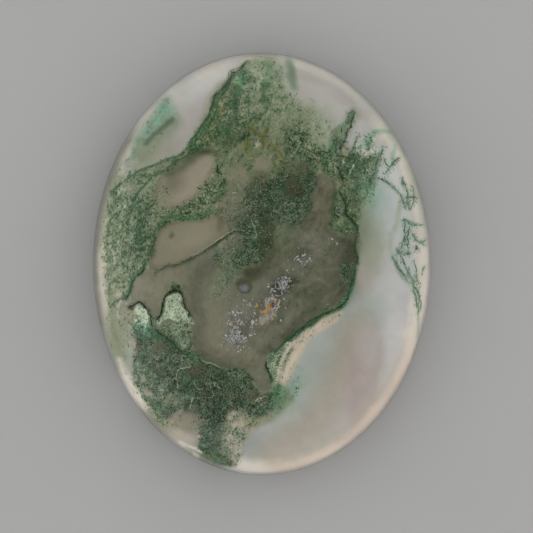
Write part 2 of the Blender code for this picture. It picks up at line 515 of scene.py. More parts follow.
def paint_pockets(gem):
    """The clear grey pockets in the upper left and the blurred teal growth in the first of them."""
    bare = (0.0, 0.0, 0.0)
    gem.fill(GREY_CLEAR, POCKET_HIGH, 0.2, growth=bare)
    gem.spot(PALE, (-5.8, 17.2), (2.8, 1.1), 32, 0.8, 0.7)
    gem.spot(BEIGE, (-9.2, 10.8), (1.6, 0.8), 28, 0.8, 0.7)
    gem.spot(LEAF_GREY, (-11.1, 10.1), (1.5, 1.0), 34, 0.8, 0.9, (0.15, 0.0, 0.0))
    gem.spot(LEAF_GREY, (-12.6, 9.2), (0.9, 1.2), -20, 0.8, 0.8, (0.3, 0.0, 0.1))
    gem.spot(LEAF_GREY, (-13.3, 8.0), (0.8, 1.0), -20, 0.8, 0.8, (0.4, 0.0, 0.2))
    gem.fill(TAN, POCKET_MIDDLE, 0.25, growth=bare)
    gem.spot(BROWN, (-8.3, 7.6), (1.2, 0.8), 30, 0.9, 0.7)
    gem.streak(MOSS, 0.6, [(-4.4, 10.7), (-5.4, 10.6), (-8.6, 8.4)], 0.6, 0.85)
    gem.spot(DEEP, (-4.9, 10.6), (1.0, 0.35), 0, 0.8, 0.8)
    gem.fill(BEIGE, POCKET_LOW, 0.12, growth=bare)
    gem.spot(TAN, (-6.4, 2.6), (2.6, 1.2), 20, 0.8, 0.5)
    gem.spot(BROWN, (-3.8, 3.7), (0.3, 0.7), -10, 0.9, 0.6)
    gem.spot(MOSS, (-8.4, 2.65), (0.2, 0.28), -40, 0.8, 0.8)


def paint_teal_patch(gem):
    """The blurred teal growth in the highest pocket, with its dark lower edge."""
    gem.spot(GREY_CLEAR, (-9.6, 13.0), (1.3, 3.0), -38, 0.8, 0.8)
    teal = [(-9.0, 15.9), (-8.45, 15.0), (-8.1, 13.9), (-8.6, 13.2), (-9.7, 12.8), (-11.2, 11.1),
            (-12.3, 9.8), (-12.2, 11.2), (-11.4, 12.8), (-10.5, 14.1), (-9.8, 15.4)]
    gem.fill(TEAL, teal, 0.8, 1.0, (0.25, 0.0, 0.0))
    gem.blotch(MOSS_MIXED, teal, 0.45, 87, 0.5)
    gem.streak(MOSS_MIXED, 1.2, [(-8.4, 13.3), (-11.3, 10.4)], 0.9, 0.8, (0.2, 0.0, 0.0))
    gem.streak(MOSS_DARK, 0.35, [(-8.5, 13.5), (-10.1, 12.3), (-10.9, 11.4)], 0.3, 0.7)


def paint_window(gem):
    """The clear smoky part, which is open down to the dark depth of the stone."""
    gem.fill(SMOKE, WINDOW, 0.12, growth=(0.0, 0.0, 0.0))
    gem.spot(BEIGE, (-9.8, -2.0), (2.8, 1.8), 0, 0.8, 0.8)
    gem.spot(BEIGE, (-0.6, -8.9), (2.4, 0.7), -8, 0.8, 0.8)
    gem.spot(BEIGE, (-2.4, -6.6), (2.6, 1.8), 20, 0.8, 0.5)
    gem.spot(BEIGE, (-4.6, -4.8), (1.6, 2.2), 0, 0.8, 0.55)
    gem.spot(DARK_SMOKE, (4.4, -2.6), (2.2, 1.5), 20, 0.8)
    gem.spot(DARK_SMOKE, (6.6, -1.6), (1.9, 2.0), 30, 0.7, 0.9)
    gem.spot(DARK_SMOKE, (7.6, 1.2), (1.4, 1.6), 0, 0.7, 0.8)
    gem.spot(DARK_SMOKE, (2.8, 1.4), (1.2, 1.0), 0, 0.8, 0.6)
    gem.spot(BROWN, (5.9, 5.9), (1.0, 2.9), -8, 0.8, 0.8)
    gem.spot(WARM_SMOKE, (5.2, 4.2), (1.0, 1.2), 0, 0.8, 0.8)
    gem.streak(DEEP, 0.6, [(1.0, 2.2), (0.8, 1.1), (0.2, 0.1), (-0.3, -0.9), (-1.0, -1.2)], 0.5, 0.75)
    gem.spot(DEEP, (-1.0, -0.7), (0.75, 0.6), 20, 0.5, 0.9)
    gem.spot(DEEP, (-1.64, -2.04), (0.76, 0.72), 0, 0.2, 0.8)
    gem.spot(SLATE, (-1.7, -2.25), (0.42, 0.3), 0, 0.5, 1.0)
    gem.streak(DARK_SMOKE, 0.7, [(5.6, -3.4), (2.2, -6.8)], 0.6, 0.6)
    pushed_x = gem.x + 0.6 * hills(gem.x, gem.y, 1.1, 61)
    pushed_y = gem.y + 0.6 * hills(gem.x, gem.y, 1.1, 62)
    wisps = 0.5 + 0.5 * hills(pushed_x, pushed_y, 0.9, 63)
    inside = gem.area(WINDOW, 0.3)
    gem.smoke = inside * (0.45 + 0.55 * ease(gem.x, -3.0, 3.0))
    gem.lay(inside * ease(wisps, 0.55, 1.0), SMOKE, 0.5)
    gem.lay(inside * ease(wisps, 0.45, 0.0) * ease(gem.x, -6.0, 2.0), DEEP, 0.5)
    for path in (
        [(3.0, -2.0), (4.2, -2.0), (5.2, -1.4), (6.4, -1.9)], [(6.0, -0.5), (6.8, -0.4), (7.3, -0.5)],
        [(4.4, -1.2), (4.2, -0.2), (4.8, 0.6), (5.6, 0.9)], [(5.6, -3.6), (6.4, -2.8), (7.0, -2.6)],
        [(3.6, 1.8), (4.6, 1.6), (5.4, 2.2)],
    ):
        gem.streak(SMOKE, 0.14, path, 0.2, 0.6)
    gem.fill(TAN, [(0.4, -3.4), (0.0, -4.6), (-0.5, -5.7), (0.4, -5.8), (1.2, -5.0), (1.5, -3.4)], 0.3, 0.8)
    gem.spot(GREY_CLEAR, (-2.3, -6.0), (1.1, 1.8), -25, 0.8, 0.6)
    gem.spot(DARK_SMOKE, (0.6, 0.2), (1.6, 1.2), 0, 0.8, 0.6)
    gem.spot(MOSS_BLACK, (1.9, -2.0), (1.2, 0.7), 45, 0.8, 0.55)
    gem.spot(DEEP, (-1.9, -6.0), (1.0, 1.3), -25, 0.9, 0.4)


def paint_upper_moss(gem):
    """The plume along the clear pocket, the dark smears at the top and the olive growth below them."""
    gem.fill(LEAF_GREY, TOP_MOTTLE, 0.9, 0.95, (0.28, 0.0, 0.0))
    gem.spot(LEAF_GREY, (3.4, 13.4), (2.4, 2.2), -30, 0.9, 0.7, (0.3, 0.0, 0.0))
    gem.spot(MOSS_MIXED, (3.8, 12.4), (2.0, 1.8), -20, 0.9, 0.9, (0.35, 0.0, 0.0))
    gem.fill(MOSS_MIXED, MIDDLE_MOTTLE, 0.3, 0.9, (0.4, 0.1, 0.35))
    gem.fill(LEAF_GREY, PLUME, 0.1, 1.0, (0.65, 0.0, 0.0))
    gem.spot(LEAF_GREY, (0.7, 15.4), (1.4, 3.2), 0, 0.8, 0.8, (0.4, 0.0, 0.0))
    gem.spot(MOSS_MIXED, (0.0, 16.0), (2.0, 3.2), 0, 0.9, 0.75, (0.5, 0.0, 0.0))
    gem.blotch(GREEN_GREY, PLUME, 0.7, 78, 0.5)
    gem.spot(GREEN_GREY, (-0.2, 18.8), (1.1, 0.9), 0, 0.8, 0.8, (0.3, 0.0, 0.0))
    gem.streak(OLIVE, 1.6, [(-3.4, 16.4), (-4.3, 14.8), (-4.7, 13.4), (-5.4, 12.0)], 0.7, 0.6)
    gem.streak(MOSS_GREEN, 0.4, [(-3.0, 17.4), (-3.6, 16.2), (-4.4, 15.2), (-4.7, 13.9), (-6.6, 11.1)],
               0.3, 0.6)
    gem.streak(MOSS_GREEN, 0.6, [(-1.6, 18.0), (-2.2, 16.2)], 0.4, 0.7)
    gem.streak(MOSS_DARK, 0.45, [(-2.2, 16.4), (-2.5, 15.2), (-2.5, 14.2), (-3.3, 12.2)], 0.4, 0.65)
    gem.streak(MOSS, 0.8, [(-3.4, 12.8), (-3.4, 12.0), (-3.0, 11.3)], 0.5, 0.8)
    gem.streak(MOSS_DARK, 0.35, [(0.3, 16.7), (0.15, 16.0), (0.2, 15.3)], 0.35, 0.75)
    gem.streak(MOSS_GREEN, 0.6, [(0.6, 18.9), (0.6, 18.0), (0.3, 16.8)], 0.5, 0.5)
    gem.streak(MOSS_GREEN, 0.6, [(-1.6, 18.6), (-2.1, 17.2)], 0.4, 0.5)
    gem.streak(MOSS_GREEN, 0.55, [(2.5, 19.1), (3.1, 16.6)], 0.4, 0.55)
    gem.spot(MOSS, (2.85, 17.9), (0.35, 0.9), 8, 0.8, 0.5)
    gem.spot(GREEN_GREY, (5.6, 12.6), (1.1, 1.8), -20, 0.8, 0.75)
    gem.spot(MOSS_MIXED, (-3.2, 10.5), (1.2, 1.0), 0, 0.9, 0.8, (0.5, 0.1, 0.3))
    gem.spot(BEIGE, (0.0, 9.3), (0.8, 0.7), 0, 0.5, 0.95, (0.0, 0.0, 0.0))
    gem.spot(TAN_PALE, (-0.4, 11.2), (0.22, 0.4), -30, 0.5, 0.6)
    for path in (
        [(-1.4, 13.1), (-0.3, 12.1), (0.2, 11.4), (0.1, 10.7)], [(0.6, 12.9), (0.3, 12.3), (0.2, 11.6)],
        [(-1.3, 12.8), (-1.45, 11.7), (-1.5, 10.4)], [(-1.2, 11.3), (-0.9, 10.6), (-1.0, 10.0)],
        [(1.0, 11.0), (1.95, 10.0), (1.7, 8.5)], [(1.4, 9.8), (1.1, 9.0)],
    ):
        gem.streak(OLIVE, 0.32, path, 0.25, 0.65)
    gem.spot(MOSS_DARK, (0.45, 12.5), (0.15, 0.3), -20, 0.7, 0.8)
    gem.spot(MOSS_DARK, (-1.7, 11.9), (0.5, 0.14), 35, 0.6, 0.8)
    column = [(-3.0, 8.9), (-1.4, 8.9), (-1.5, 7.5), (-1.8, 6.1), (-1.5, 4.9), (-2.5, 4.2), (-3.2, 4.8),
              (-3.6, 5.8), (-3.0, 7.2)]
    gem.fill(BEIGE, column, 0.4, 0.9, (0.1, 0.0, 0.1))
    gem.spot(MOSS_MIXED, (-2.4, 6.4), (0.9, 1.5), 0, 0.9, 0.5, (0.3, 0.1, 0.5))
    gem.fill(WARM_SMOKE, [(-4.6, 5.2), (-3.4, 5.9), (-2.0, 5.4), (-1.6, 4.4), (-2.2, 3.2), (-3.2, 2.8),
                          (-3.6, 4.0)], 0.5, 0.8, (0.4, 0.1, 0.6))


def paint_left_moss(gem):
    """The double dark line below the clear pocket, the left mass and the band of fine net."""
    shelf = [(-7.3, 10.1), (-8.2, 9.9), (-12.0, 8.5), (-13.0, 7.8), (-12.6, 6.6), (-11.0, 6.4), (-10.2, 7.4)]
    gem.fill(LEAF_GREY, LEFT_MASS, 0.5, 0.8, (0.6, 0.0, 0.0))
    gem.fill(MOSS_MIXED, shelf, 0.25, 0.8, (0.4, 0.0, 0.0))
    inner = [(-9.9, 5.6), (-9.9, 2.6), (-10.0, 1.5), (-10.6, 0.5), (-11.8, 0.2), (-12.8, 1.6), (-13.0, 3.8),
             (-12.4, 5.8), (-11.0, 6.2)]
    gem.fill(MOSS_MIXED, inner, 0.6, 0.85, (0.8, 0.3, 0.1))
    for place, size, turn in (
        ((-10.7, 0.85), (0.45, 0.18), 0), ((-11.3, 3.1), (0.2, 0.35), -20), ((-10.3, 1.7), (0.2, 0.45), 0),
        ((-11.1, 4.9), (0.45, 0.15), -15), ((-11.8, 2.4), (0.3, 0.15), 20), ((-12.6, 0.5), (0.3, 0.3), 30),
        ((-13.2, 0.0), (0.3, 0.25), 0), ((-10.8, 2.3), (0.3, 0.12), 0), ((-12.0, 1.5), (0.5, 0.2), -10),
        ((-12.9, 1.1), (0.3, 0.2), 0), ((-12.3, 5.2), (0.3, 0.2), 60), ((-11.6, 6.7), (0.25, 0.5), 20),
    ):
        gem.spot(MOSS_DARK, place, size, turn, 0.8, 0.55)
    gem.blotch(MOSS_DARK, LEFT_MASS, 0.6, 76, 0.2)
    gem.blotch(GREEN_GREY, LEFT_MASS, 0.5, 77, 0.5)
    gem.spot(MOSS_MIXED, (-13.5, 3.6), (0.7, 1.2), 0, 0.8, 0.8)
    gem.fill(LEAF_GREY, [(-9.9, 8.2), (-9.6, 6.9), (-9.9, 5.8), (-11.2, 6.0), (-11.8, 7.2), (-10.8, 8.0)],
             0.3, 0.7)
    gem.spot(MOSS_MIXED, (-9.4, 6.5), (0.9, 0.8), 0, 0.9, 0.6, (0.3, 0.3, 0.1))
    gem.fill(LEAF_GREY, NET_BAND, 0.1, 1.0, (0.2, 0.9, 0.1))
    gem.streak(MOSS_GREEN, 0.35, [(-4.4, 5.0), (-5.6, 4.5), (-8.6, 4.2), (-9.6, 3.6)], 0.3, 0.7)
    gem.streak(MOSS, 0.5, [(-3.4, 7.6), (-3.5, 6.8), (-4.0, 6.1)], 0.3, 0.7)
    tail = [(-10.9, 0.1), (-11.1, -0.6), (-11.8, -1.2), (-12.3, -2.1), (-12.5, -2.9), (-12.9, -3.3)]
    gem.streak(MOSS_GREEN, 0.3, tail, 0.25, 0.8)
    gem.streak(MOSS_MIXED, 0.4, [(-12.0, -0.4), (-13.2, -0.6), (-13.6, -1.8)], 0.6, 0.6)
    gem.spot(LEAF_GREY, (-13.7, -6.0), (0.9, 2.8), 6, 0.6, 0.9, (0.25, 0.0, 0.0))
    gem.streak(PALE, 0.1, [(-13.3, -3.5), (-13.6, -4.2), (-13.5, -5.0)], 0.15, 0.5)


def paint_centre_moss(gem):
    """The dark column of fine net right of the middle, with its brown depths and pale threads."""
    side = [(-2.2, 2.8), (-3.4, 2.2), (-4.6, 1.2), (-4.4, 0.0), (-3.2, -0.6), (-2.0, 0.6)]
    gem.fill(SMOKE, side, 0.5, 0.8, (0.4, 0.2, 0.4))
    fan = [(-1.2, 0.2), (-2.6, 1.2), (-3.8, 0.4), (-4.4, -1.2), (-4.9, -3.2), (-3.4, -2.8), (-2.2, -1.0)]
    gem.fill(LEAF_GREY, fan, 0.5, 0.7, (0.4, 0.1, 0.6))
    gem.fill(LEAF_GREY, CENTRE_HIGH, 0.7, 0.9, (0.5, 0.9, 0.3))
    gem.spot(MOSS_MIXED, (1.9, 2.7), (1.3, 1.6), 0, 0.9, 0.6, (0.15, 0.1, 0.1))
    gem.fill(MOSS, CENTRE_MASS, 0.55, 1.0, (0.45, 0.9, 0.55))
    gem.blotch(MOSS_BLACK, CENTRE_MASS, 0.5, 79, 0.8)
    gem.blotch(MOSS_BLACK, CENTRE_MASS, 0.27, 85, 0.8)
    gem.blotch(LEAF_GREY, CENTRE_MASS, 0.4, 80, 0.4)
    gem.blotch(BROWN, CENTRE_MASS, 0.6, 89, 0.6)
    gem.spot(DARK_SMOKE, (3.4, 9.0), (1.3, 0.8), -10, 0.8, 0.7, (0.2, 0.2, 0.1))
    gem.spot(DEEP, (2.9, 7.0), (1.0, 1.0), 0, 0.7, 0.9, (0.1, 0.1, 0.1))
    gem.spot(BROWN, (0.0, 7.9), (0.9, 0.6), 0, 0.9, 0.8, (0.2, 0.2, 0.2))
    gem.spot(MOSS, (2.7, 5.1), (1.6, 1.0), 0, 0.5, 0.8, (0.3, 1.0, 0.9))
    gem.spot(TEAL, (1.6, 6.4), (0.25, 0.9), -10, 0.8, 0.4)
    gem.spot(DEEP, (0.3, 3.2), (0.7, 2.2), 0, 0.7, 0.75, (0.2, 0.4, 0.2))
    gem.streak(MOSS, 0.9, SPINE, 0.5, 0.7, (0.3, 1.0, 1.0))
    gem.spot(MOSS_BLACK, (-0.65, 1.8), (0.2, 0.32), 0, 0.5, 0.9)
    gem.spot(MOSS_BLACK, (-1.5, 2.0), (0.22, 0.6), -10, 0.6, 0.6)
    gem.spot(MOSS_BLACK, (-1.2, 2.9), (0.2, 0.2), 0, 0.6, 0.6)
    gem.streak(MOSS_DARK, 0.35, [(4.75, 8.3), (4.3, 6.2), (4.3, 5.2)], 0.3, 0.6)


def paint_right_moss(gem):
    """The dark plume tip, the mass below it down to the edge of the window, and the fronds beside them."""
    gap = [(5.2, 10.8), (6.2, 10.6), (7.2, 10.4), (7.2, 8.6), (6.9, 7.8), (5.8, 8.4), (4.9, 9.0)]
    gem.fill(LEAF_GREY, gap, 0.4, 0.8, (0.6, 0.3, 0.2))
    fronds = [(8.4, 10.1), (9.2, 11.4), (10.0, 12.4), (11.0, 12.6), (10.6, 11.4), (10.9, 10.4), (10.4, 9.8)]
    gem.fill(GREEN_GREY, fronds, 0.4, 0.6, (0.55, 0.0, 0.1))
    gem.fill(MOSS_MIXED, RIGHT_MASS, 0.2, 0.9, (0.5, 0.8, 0.2))
    gem.fill(FROND, PLUME_TIP, 0.15, 0.85, (0.45, 0.1, 0.2))
    gem.spot(MOSS_DARK, (8.4, 13.9), (0.32, 0.7), -25, 0.7, 0.8)
    gem.streak(MOSS, 0.4, [(7.1, 12.6), (6.8, 10.6)], 0.4, 0.6)
    gem.streak(GREY_CLEAR, 0.14, [(7.35, 12.0), (7.1, 10.4)], 0.12, 0.8)
    gem.spot(MOSS_MIXED, (9.0, 9.2), (2.0, 0.8), 8, 0.7, 0.8, (0.6, 0.7, 0.2))
    for place in ((7.3, 9.3), (7.9, 8.8), (8.7, 9.7), (9.1, 9.0), (9.8, 9.5), (10.4, 9.1)):
        gem.spot(MOSS_DARK, place, (0.3, 0.5), 20, 0.9, 0.7)
    gem.spot(MOSS_MIXED, (9.5, 6.9), (1.0, 1.5), 0, 0.9, 0.7, (0.5, 0.2, 0.1))
    gem.spot(MOSS_DARK, (9.0, 7.4), (0.5, 0.9), 0, 0.9, 0.5)
    gem.blotch(MOSS_DARK, RIGHT_MASS, 0.5, 81, 0.3)
    gem.blotch(LEAF_GREY, RIGHT_MASS, 0.45, 82, 0.6)
    gem.spot(TEAL, (10.3, 6.4), (1.2, 1.6), 0, 0.95, 0.55)
    gem.spot(MOSS, (8.8, 5.4), (0.5, 1.4), 0, 0.8, 0.6, (0.4, 0.4, 0.2))
    gem.spot(LEAF_GREY, (9.5, 2.8), (0.6, 1.5), 0, 0.9, 0.5)
    gem.spot(LEAF_GREY, (7.4, 5.6), (0.35, 0.9), 15, 0.7, 0.7, (0.4, 0.2, 0.8))
    gem.streak(MOSS_DARK, 0.3, [(6.9, 6.6), (6.5, 4.9)], 0.3, 0.6)
    gem.spot(MOSS_MIXED, (7.3, 3.7), (0.8, 0.7), 0, 0.7, 0.8, (0.5, 0.3, 0.3))
    gem.streak(TEAL, 0.3, [(12.2, 12.6), (11.2, 12.55), (10.4, 12.25), (9.8, 11.6), (9.5, 11.0)], 0.25, 0.6)
    gem.streak(MOSS_GREEN, 0.16, [(10.6, 12.3), (9.8, 10.9)], 0.2, 0.6)
    gem.streak(PALE_TEAL, 0.25, [(12.6, 11.2), (12.2, 9.6)], 0.25, 0.8)
    gem.streak(GREEN_GREY, 0.3, [(13.2, 6.2), (12.5, 3.2)], 0.3, 0.8)
    gem.streak(GREEN_GREY, 0.25, [(12.1, 2.8), (12.0, 1.4), (12.3, 0.4)], 0.4, 0.6)
    brink = [(8.75, -0.6), (8.2, -2.8), (7.8, -3.6), (7.2, -4.1), (6.2, -4.5), (4.2, -5.85), (1.2, -8.3)]
    gem.streak(MOSS_GREEN, 0.34, brink, 0.12, 0.9, (0.3, 0.3, 0.4))
    gem.spot(TEAL, (8.0, -3.2), (0.32, 0.9), -28, 0.6, 0.8)
    tuft = [(7.2, 0.0), (8.5, 0.0), (8.5, -0.9), (8.1, -1.9), (7.6, -2.2), (7.3, -1.0)]
    gem.fill(MOSS, tuft, 0.2, 0.8, (0.3, 1.0, 0.7))
    gem.spot(MOSS_MIXED, (5.9, -4.1), (0.7, 0.3), 40, 0.8, 0.7, (0.3, 0.2, 0.6))


def paint_lower_moss(gem):
    """The dark net in the lower left with its trunk and root, and the two pale shapes above it."""
    veil = [(-9.6, -5.6), (-8.4, -5.5), (-6.8, -5.6), (-6.4, -7.0), (-6.2, -8.2), (-8.0, -7.5), (-9.4, -6.6)]
    gem.fill(LEAF_GREY, veil, 0.25, 0.85, (0.55, 0.1, 0.6))
    gem.fill(MOSS, LOW_MASS, 0.2, 0.95, (0.5, 0.5, 0.35))
    gem.spot(DEEP, (-7.4, -10.2), (3.8, 2.4), -8, 0.7, 0.85)
    gem.spot(MOSS_BLACK, (-5.8, -12.6), (2.4, 2.0), -20, 0.9, 0.6)
    gem.blotch(MOSS_BLACK, LOW_MASS, 0.8, 71, 0.9)
    gem.blotch(MOSS_BLACK, LOW_MASS, 0.3, 86, 0.8)
    gem.blotch(TEAL, LOW_MASS, 0.5, 72, 0.45)
    gem.blotch(TAN, LOW_MASS, 0.9, 73, 0.2)
    edge = [(-12.3, -9.4), (-10.6, -9.6), (-9.0, -11.6), (-7.6, -13.2), (-8.0, -15.0), (-10.4, -14.0),
            (-11.9, -11.8)]
    gem.blotch(SAGE, edge, 0.45, 74, 0.5)
    gem.blotch(TAN_PALE, edge, 0.6, 75, 0.25)
    gem.streak(MOSS_GREEN, 1.0, [(-11.0, -6.3), (-9.4, -7.0), (-5.6, -9.3), (-3.4, -10.0)], 0.5, 0.4)
    gem.streak(MOSS_DARK, 1.5, [(-4.0, -11.4), (-4.5, -13.2), (-4.6, -15.0), (-4.9, -17.0)], 0.6, 0.9,
               (0.5, 0.5, 0.3))
    gem.blotch(MOSS_BLACK, TRUNK, 0.4, 83, 0.9)
    gem.blotch(TEAL, TRUNK, 0.35, 84, 0.5)
    gem.blotch(TAN, TRUNK, 0.5, 88, 0.3)
    gem.spot(None, (-10.2, -12.2), (2.6, 1.4), -52, 0.8, growth=(0.7, 0.0, 0.3))
    gem.fill(DEEP, [(-5.6, -9.4), (-3.0, -9.9), (-1.4, -10.4), (-1.4, -12.0), (-3.2, -12.8), (-5.4, -12.4)],
             0.6, 0.75, (0.4, 0.6, 0.5))
    for place, size, turn in (
        ((-8.8, -8.8), (1.7, 0.5), 0), ((-7.4, -9.6), (0.7, 1.5), 20), ((-4.6, -11.0), (1.2, 0.5), -30),
        ((-2.4, -10.3), (0.9, 0.4), -20), ((-9.8, -11.6), (1.3, 0.5), 40),
    ):
        gem.spot(None, place, size, turn, 0.6, growth=(0.5, 0.6, 0.95))
    for place, size, turn, colour, share in (
        ((-9.4, -7.7), (1.2, 0.5), -12, DARK_SMOKE, 0.9), ((-8.2, -8.7), (1.1, 0.4), 0, DEEP, 0.7),
        ((-6.2, -9.9), (1.2, 0.7), 0, DARK_SMOKE, 0.8), ((-5.6, -11.7), (1.1, 0.8), 30, DEEP, 0.6),
        ((-4.4, -12.4), (0.6, 0.8), 0, DEEP, 0.5), ((-8.4, -12.9), (1.4, 0.8), 0, MOSS_MIXED, 0.6),
        ((-7.0, -14.8), (1.5, 0.9), -10, WARM_SMOKE, 0.9), ((-4.6, -14.0), (0.8, 1.3), 10, MOSS_BLACK, 0.5),
        ((-1.0, -12.2), (0.6, 0.5), 0, BROWN, 0.8), ((-2.2, -10.9), (0.9, 0.7), 0, MOSS_GREEN, 0.35),
        ((2.0, -12.7), (1.0, 0.6), 40, MOSS_MIXED, 0.6), ((-4.2, -17.6), (1.3, 0.9), -10, MOSS, 0.6),
        ((-1.4, -14.4), (0.9, 0.5), -20, LEAF_GREY, 0.7), ((1.4, -11.8), (0.4, 0.6), 0, MOSS_GREEN, 0.7),
        ((-11.3, -12.0), (0.5, 1.2), 25, GREEN_GREY, 0.6), ((-9.6, -13.3), (0.9, 0.6), -30, MOSS_DARK, 0.4),
        ((-7.4, -10.8), (0.4, 1.0), 0, MOSS_GREEN, 0.5), ((-10.4, -10.4), (0.8, 0.6), 0, MOSS_MIXED, 0.6),
        ((-1.3, -10.6), (0.35, 0.25), -20, MOSS_BLACK, 0.5),
        ((-3.4, -13.9), (0.15, 0.25), 0, MOSS_BLACK, 0.8),
    ):
        gem.spot(colour, place, size, turn, 0.7, share)
    for place, size in (((-9.4, -7.7), (1.2, 0.5)), ((-6.3, -10.0), (1.1, 0.6)), ((-7.2, -14.4), (1.4, 0.7)),
                        ((-8.2, -12.7), (1.0, 0.6)), ((-1.0, -12.3), (0.4, 0.5))):
        gem.spot(None, place, size, 0.0, 0.7, growth=(0.2, 0.0, 0.1))
    for place in ((-11.2, -10.85), (-11.0, -11.9), (-10.5, -12.25)):
        gem.spot(TAN, place, (0.28, 0.25), 0, 0.5, 0.9, (0.0, 0.0, 0.0))
    root = [(-2.2, -13.7), (-3.3, -14.2), (-3.7, -15.6), (-3.7, -17.2), (-3.0, -18.8), (-2.0, -18.0),
            (-1.4, -16.4), (-0.8, -15.2), (-1.6, -14.4)]
    gem.fill(BEIGE, root, 0.5, 0.75, (0.5, 0.0, 0.0))
    gem.spot(GREY_CLEAR, (-2.4, -16.2), (0.8, 1.4), -25, 0.9, 0.4)
    gem.spot(TAN_PALE, (-2.5, -13.9), (0.5, 0.3), 30, 0.7, 0.6)
    gem.spot(TAN_PALE, (-7.3, -16.2), (1.1, 0.35), -25, 0.8, 0.7)
    gem.spot(LEAF_GREY, (-9.6, -14.7), (0.4, 1.0), 42, 0.8, 0.8, (0.6, 0.0, 0.2))
    gem.streak(SAGE, 0.8, [(-7.6, -5.3), (-7.7, -6.3), (-7.3, -7.4)], 0.4, 0.6, (0.6, 0.0, 0.6))
    for outline in (GHOST_BIG, GHOST_SMALL):
        gem.fill(PALE_SAGE, outline, 0.08, 1.0, (0.45, 0.0, 0.0))
    gem.spot(TEAL, (-11.1, -6.1), (0.9, 0.6), -15, 0.8, 0.7, (0.7, 0.0, 0.3))
    gem.spot(MOSS_DARK, (-8.0, -2.3), (0.7, 0.35), 0, 0.8, 0.6, (0.8, 0.6, 0.3))
    gem.spot(MOSS_BLACK, (-12.35, -4.1), (0.36, 0.24), -20, 0.5, 0.85)
    gem.spot(MOSS_BLACK, (-7.1, -5.74), (0.24, 0.2), 0, 0.4, 1.0)
    gem.spot(MOSS_BLACK, (-6.87, -6.4), (0.15, 0.14), 0, 0.4, 1.0)
    gem.streak(MOSS_DARK, 0.3, [(-10.2, -6.05), (-8.6, -7.2), (-7.6, -8.2)], 0.3, 0.5)


def paint_lower_right(gem):
    """The sage wedge and the cream sliver that lie along the lower right edge of the window."""
    gem.fill(SAGE, SAGE_WEDGE, 0.1, 0.9, (0.55, 0.2, 0.5))
    gem.fill(PEACH_DEEP, CREAM_SLIVER, 0.18, 0.95, (0.2, 0.0, 0.1))
    gem.streak(CREAM, 0.18, [(3.1, -7.1), (2.3, -8.1), (1.75, -9.3), (1.6, -10.2)], 0.12, 0.8)
    gem.streak(CREAM, 0.2, [(5.4, -5.6), (4.2, -6.8), (2.2, -10.4), (2.0, -11.2)], 0.2, 0.45)
    gem.streak(LEAF_GREY, 0.25, [(2.9, -7.8), (2.3, -8.9), (2.0, -9.8)], 0.2, 0.8, (0.4, 0.0, 0.4))
    soft = [(2.6, -11.0), (3.6, -9.8), (4.0, -10.8), (3.4, -12.4), (2.6, -13.4), (1.2, -14.2), (1.2, -12.6)]
    gem.fill(TEAL, soft, 0.8, 0.45, (0.3, 0.0, 0.0))
    gem.fill(MOSS_GREEN, [(0.8, -11.8), (1.6, -11.2), (2.6, -11.6), (2.4, -12.8), (1.2, -13.8),
                          (0.4, -13.0)], 0.7, 0.3)
    gem.streak(OLIVE, 0.3, [(2.8, -12.6), (1.6, -14.0), (0.2, -14.8), (-1.0, -15.0)], 0.4, 0.4)
    gem.spot(TAN_PALE, (-0.2, -13.3), (0.8, 0.16), 35, 0.6, 0.8)
    gem.spot(TAN_PALE, (0.0, -12.6), (0.6, 0.12), 30, 0.6, 0.7)


def paint_small_marks(gem):
    """Small pale marks that lie over everything else."""
    for place, size, turn in (((-7.5, -17.1), (0.42, 0.25), -30), ((-6.3, -18.1), (0.4, 0.15), -25),
                              ((-6.4, -17.5), (0.8, 0.14), -27), ((-5.9, -16.3), (0.2, 0.12), 0)):
        gem.spot(WHITE, place, size, turn, 0.5, 0.85)
    gem.streak(CREAM, 0.5, [(-13.4, -9.2), (-12.9, -10.8), (-12.2, -12.2), (-11.2, -13.6)], 0.3, 0.7)
    for place, turn in (((8.45, 9.15), 65), ((8.3, 8.75), 60), ((8.15, 8.4), 60)):
        gem.spot(CREAM, place, (0.22, 0.1), turn, 0.4, 0.9)
    for place in ((8.0, 9.8), (7.55, 9.4), (7.0, 8.6), (9.4, 9.85)):
        gem.spot(TAN_PALE, place, (0.09, 0.2), 0, 0.5, 0.8)


def paint_along_lines(gem):
    """The soft colour that lies beside the fine lines."""
    for colour, width, points in DARK_LINES:
        gem.streak(colour, width, points, 0.09, 0.4)
    for _, width, points in FRONDS:
        gem.streak(FROND, width + 0.1, points, 0.3, 0.25, (0.15, 0.0, 0.0))


def paint_veils(gem):
    """Faint veils over what is painted."""
    gem.spot(MAUVE, (11.8, -10.5), (1.5, 3.0), 0, 0.9, 0.25)
    gem.streak(MOSS_MIXED, 0.9, [(8.6, 14.0), (7.9, 12.8), (7.2, 11.6)], 0.6, 0.6, (0.3, 0.0, 0.2))
    for colour, place, size, share in (
        (MOSS_MIXED, (9.5, 4.0), (0.9, 1.8), 0.35), (LEAF_GREY, (7.7, 3.4), (0.8, 0.8), 0.5),
        (MILK, (-12.9, 9.0), (0.6, 0.7), 0.5), (MAUVE, (8.0, -15.3), (2.0, 1.2), 0.3),
        (BEIGE, (-4.0, -7.8), (1.6, 1.4), 0.6), (BROWN, (-1.3, 6.0), (0.8, 1.8), 0.35),
    ):
        gem.spot(colour, place, size, 0, 0.9, share)


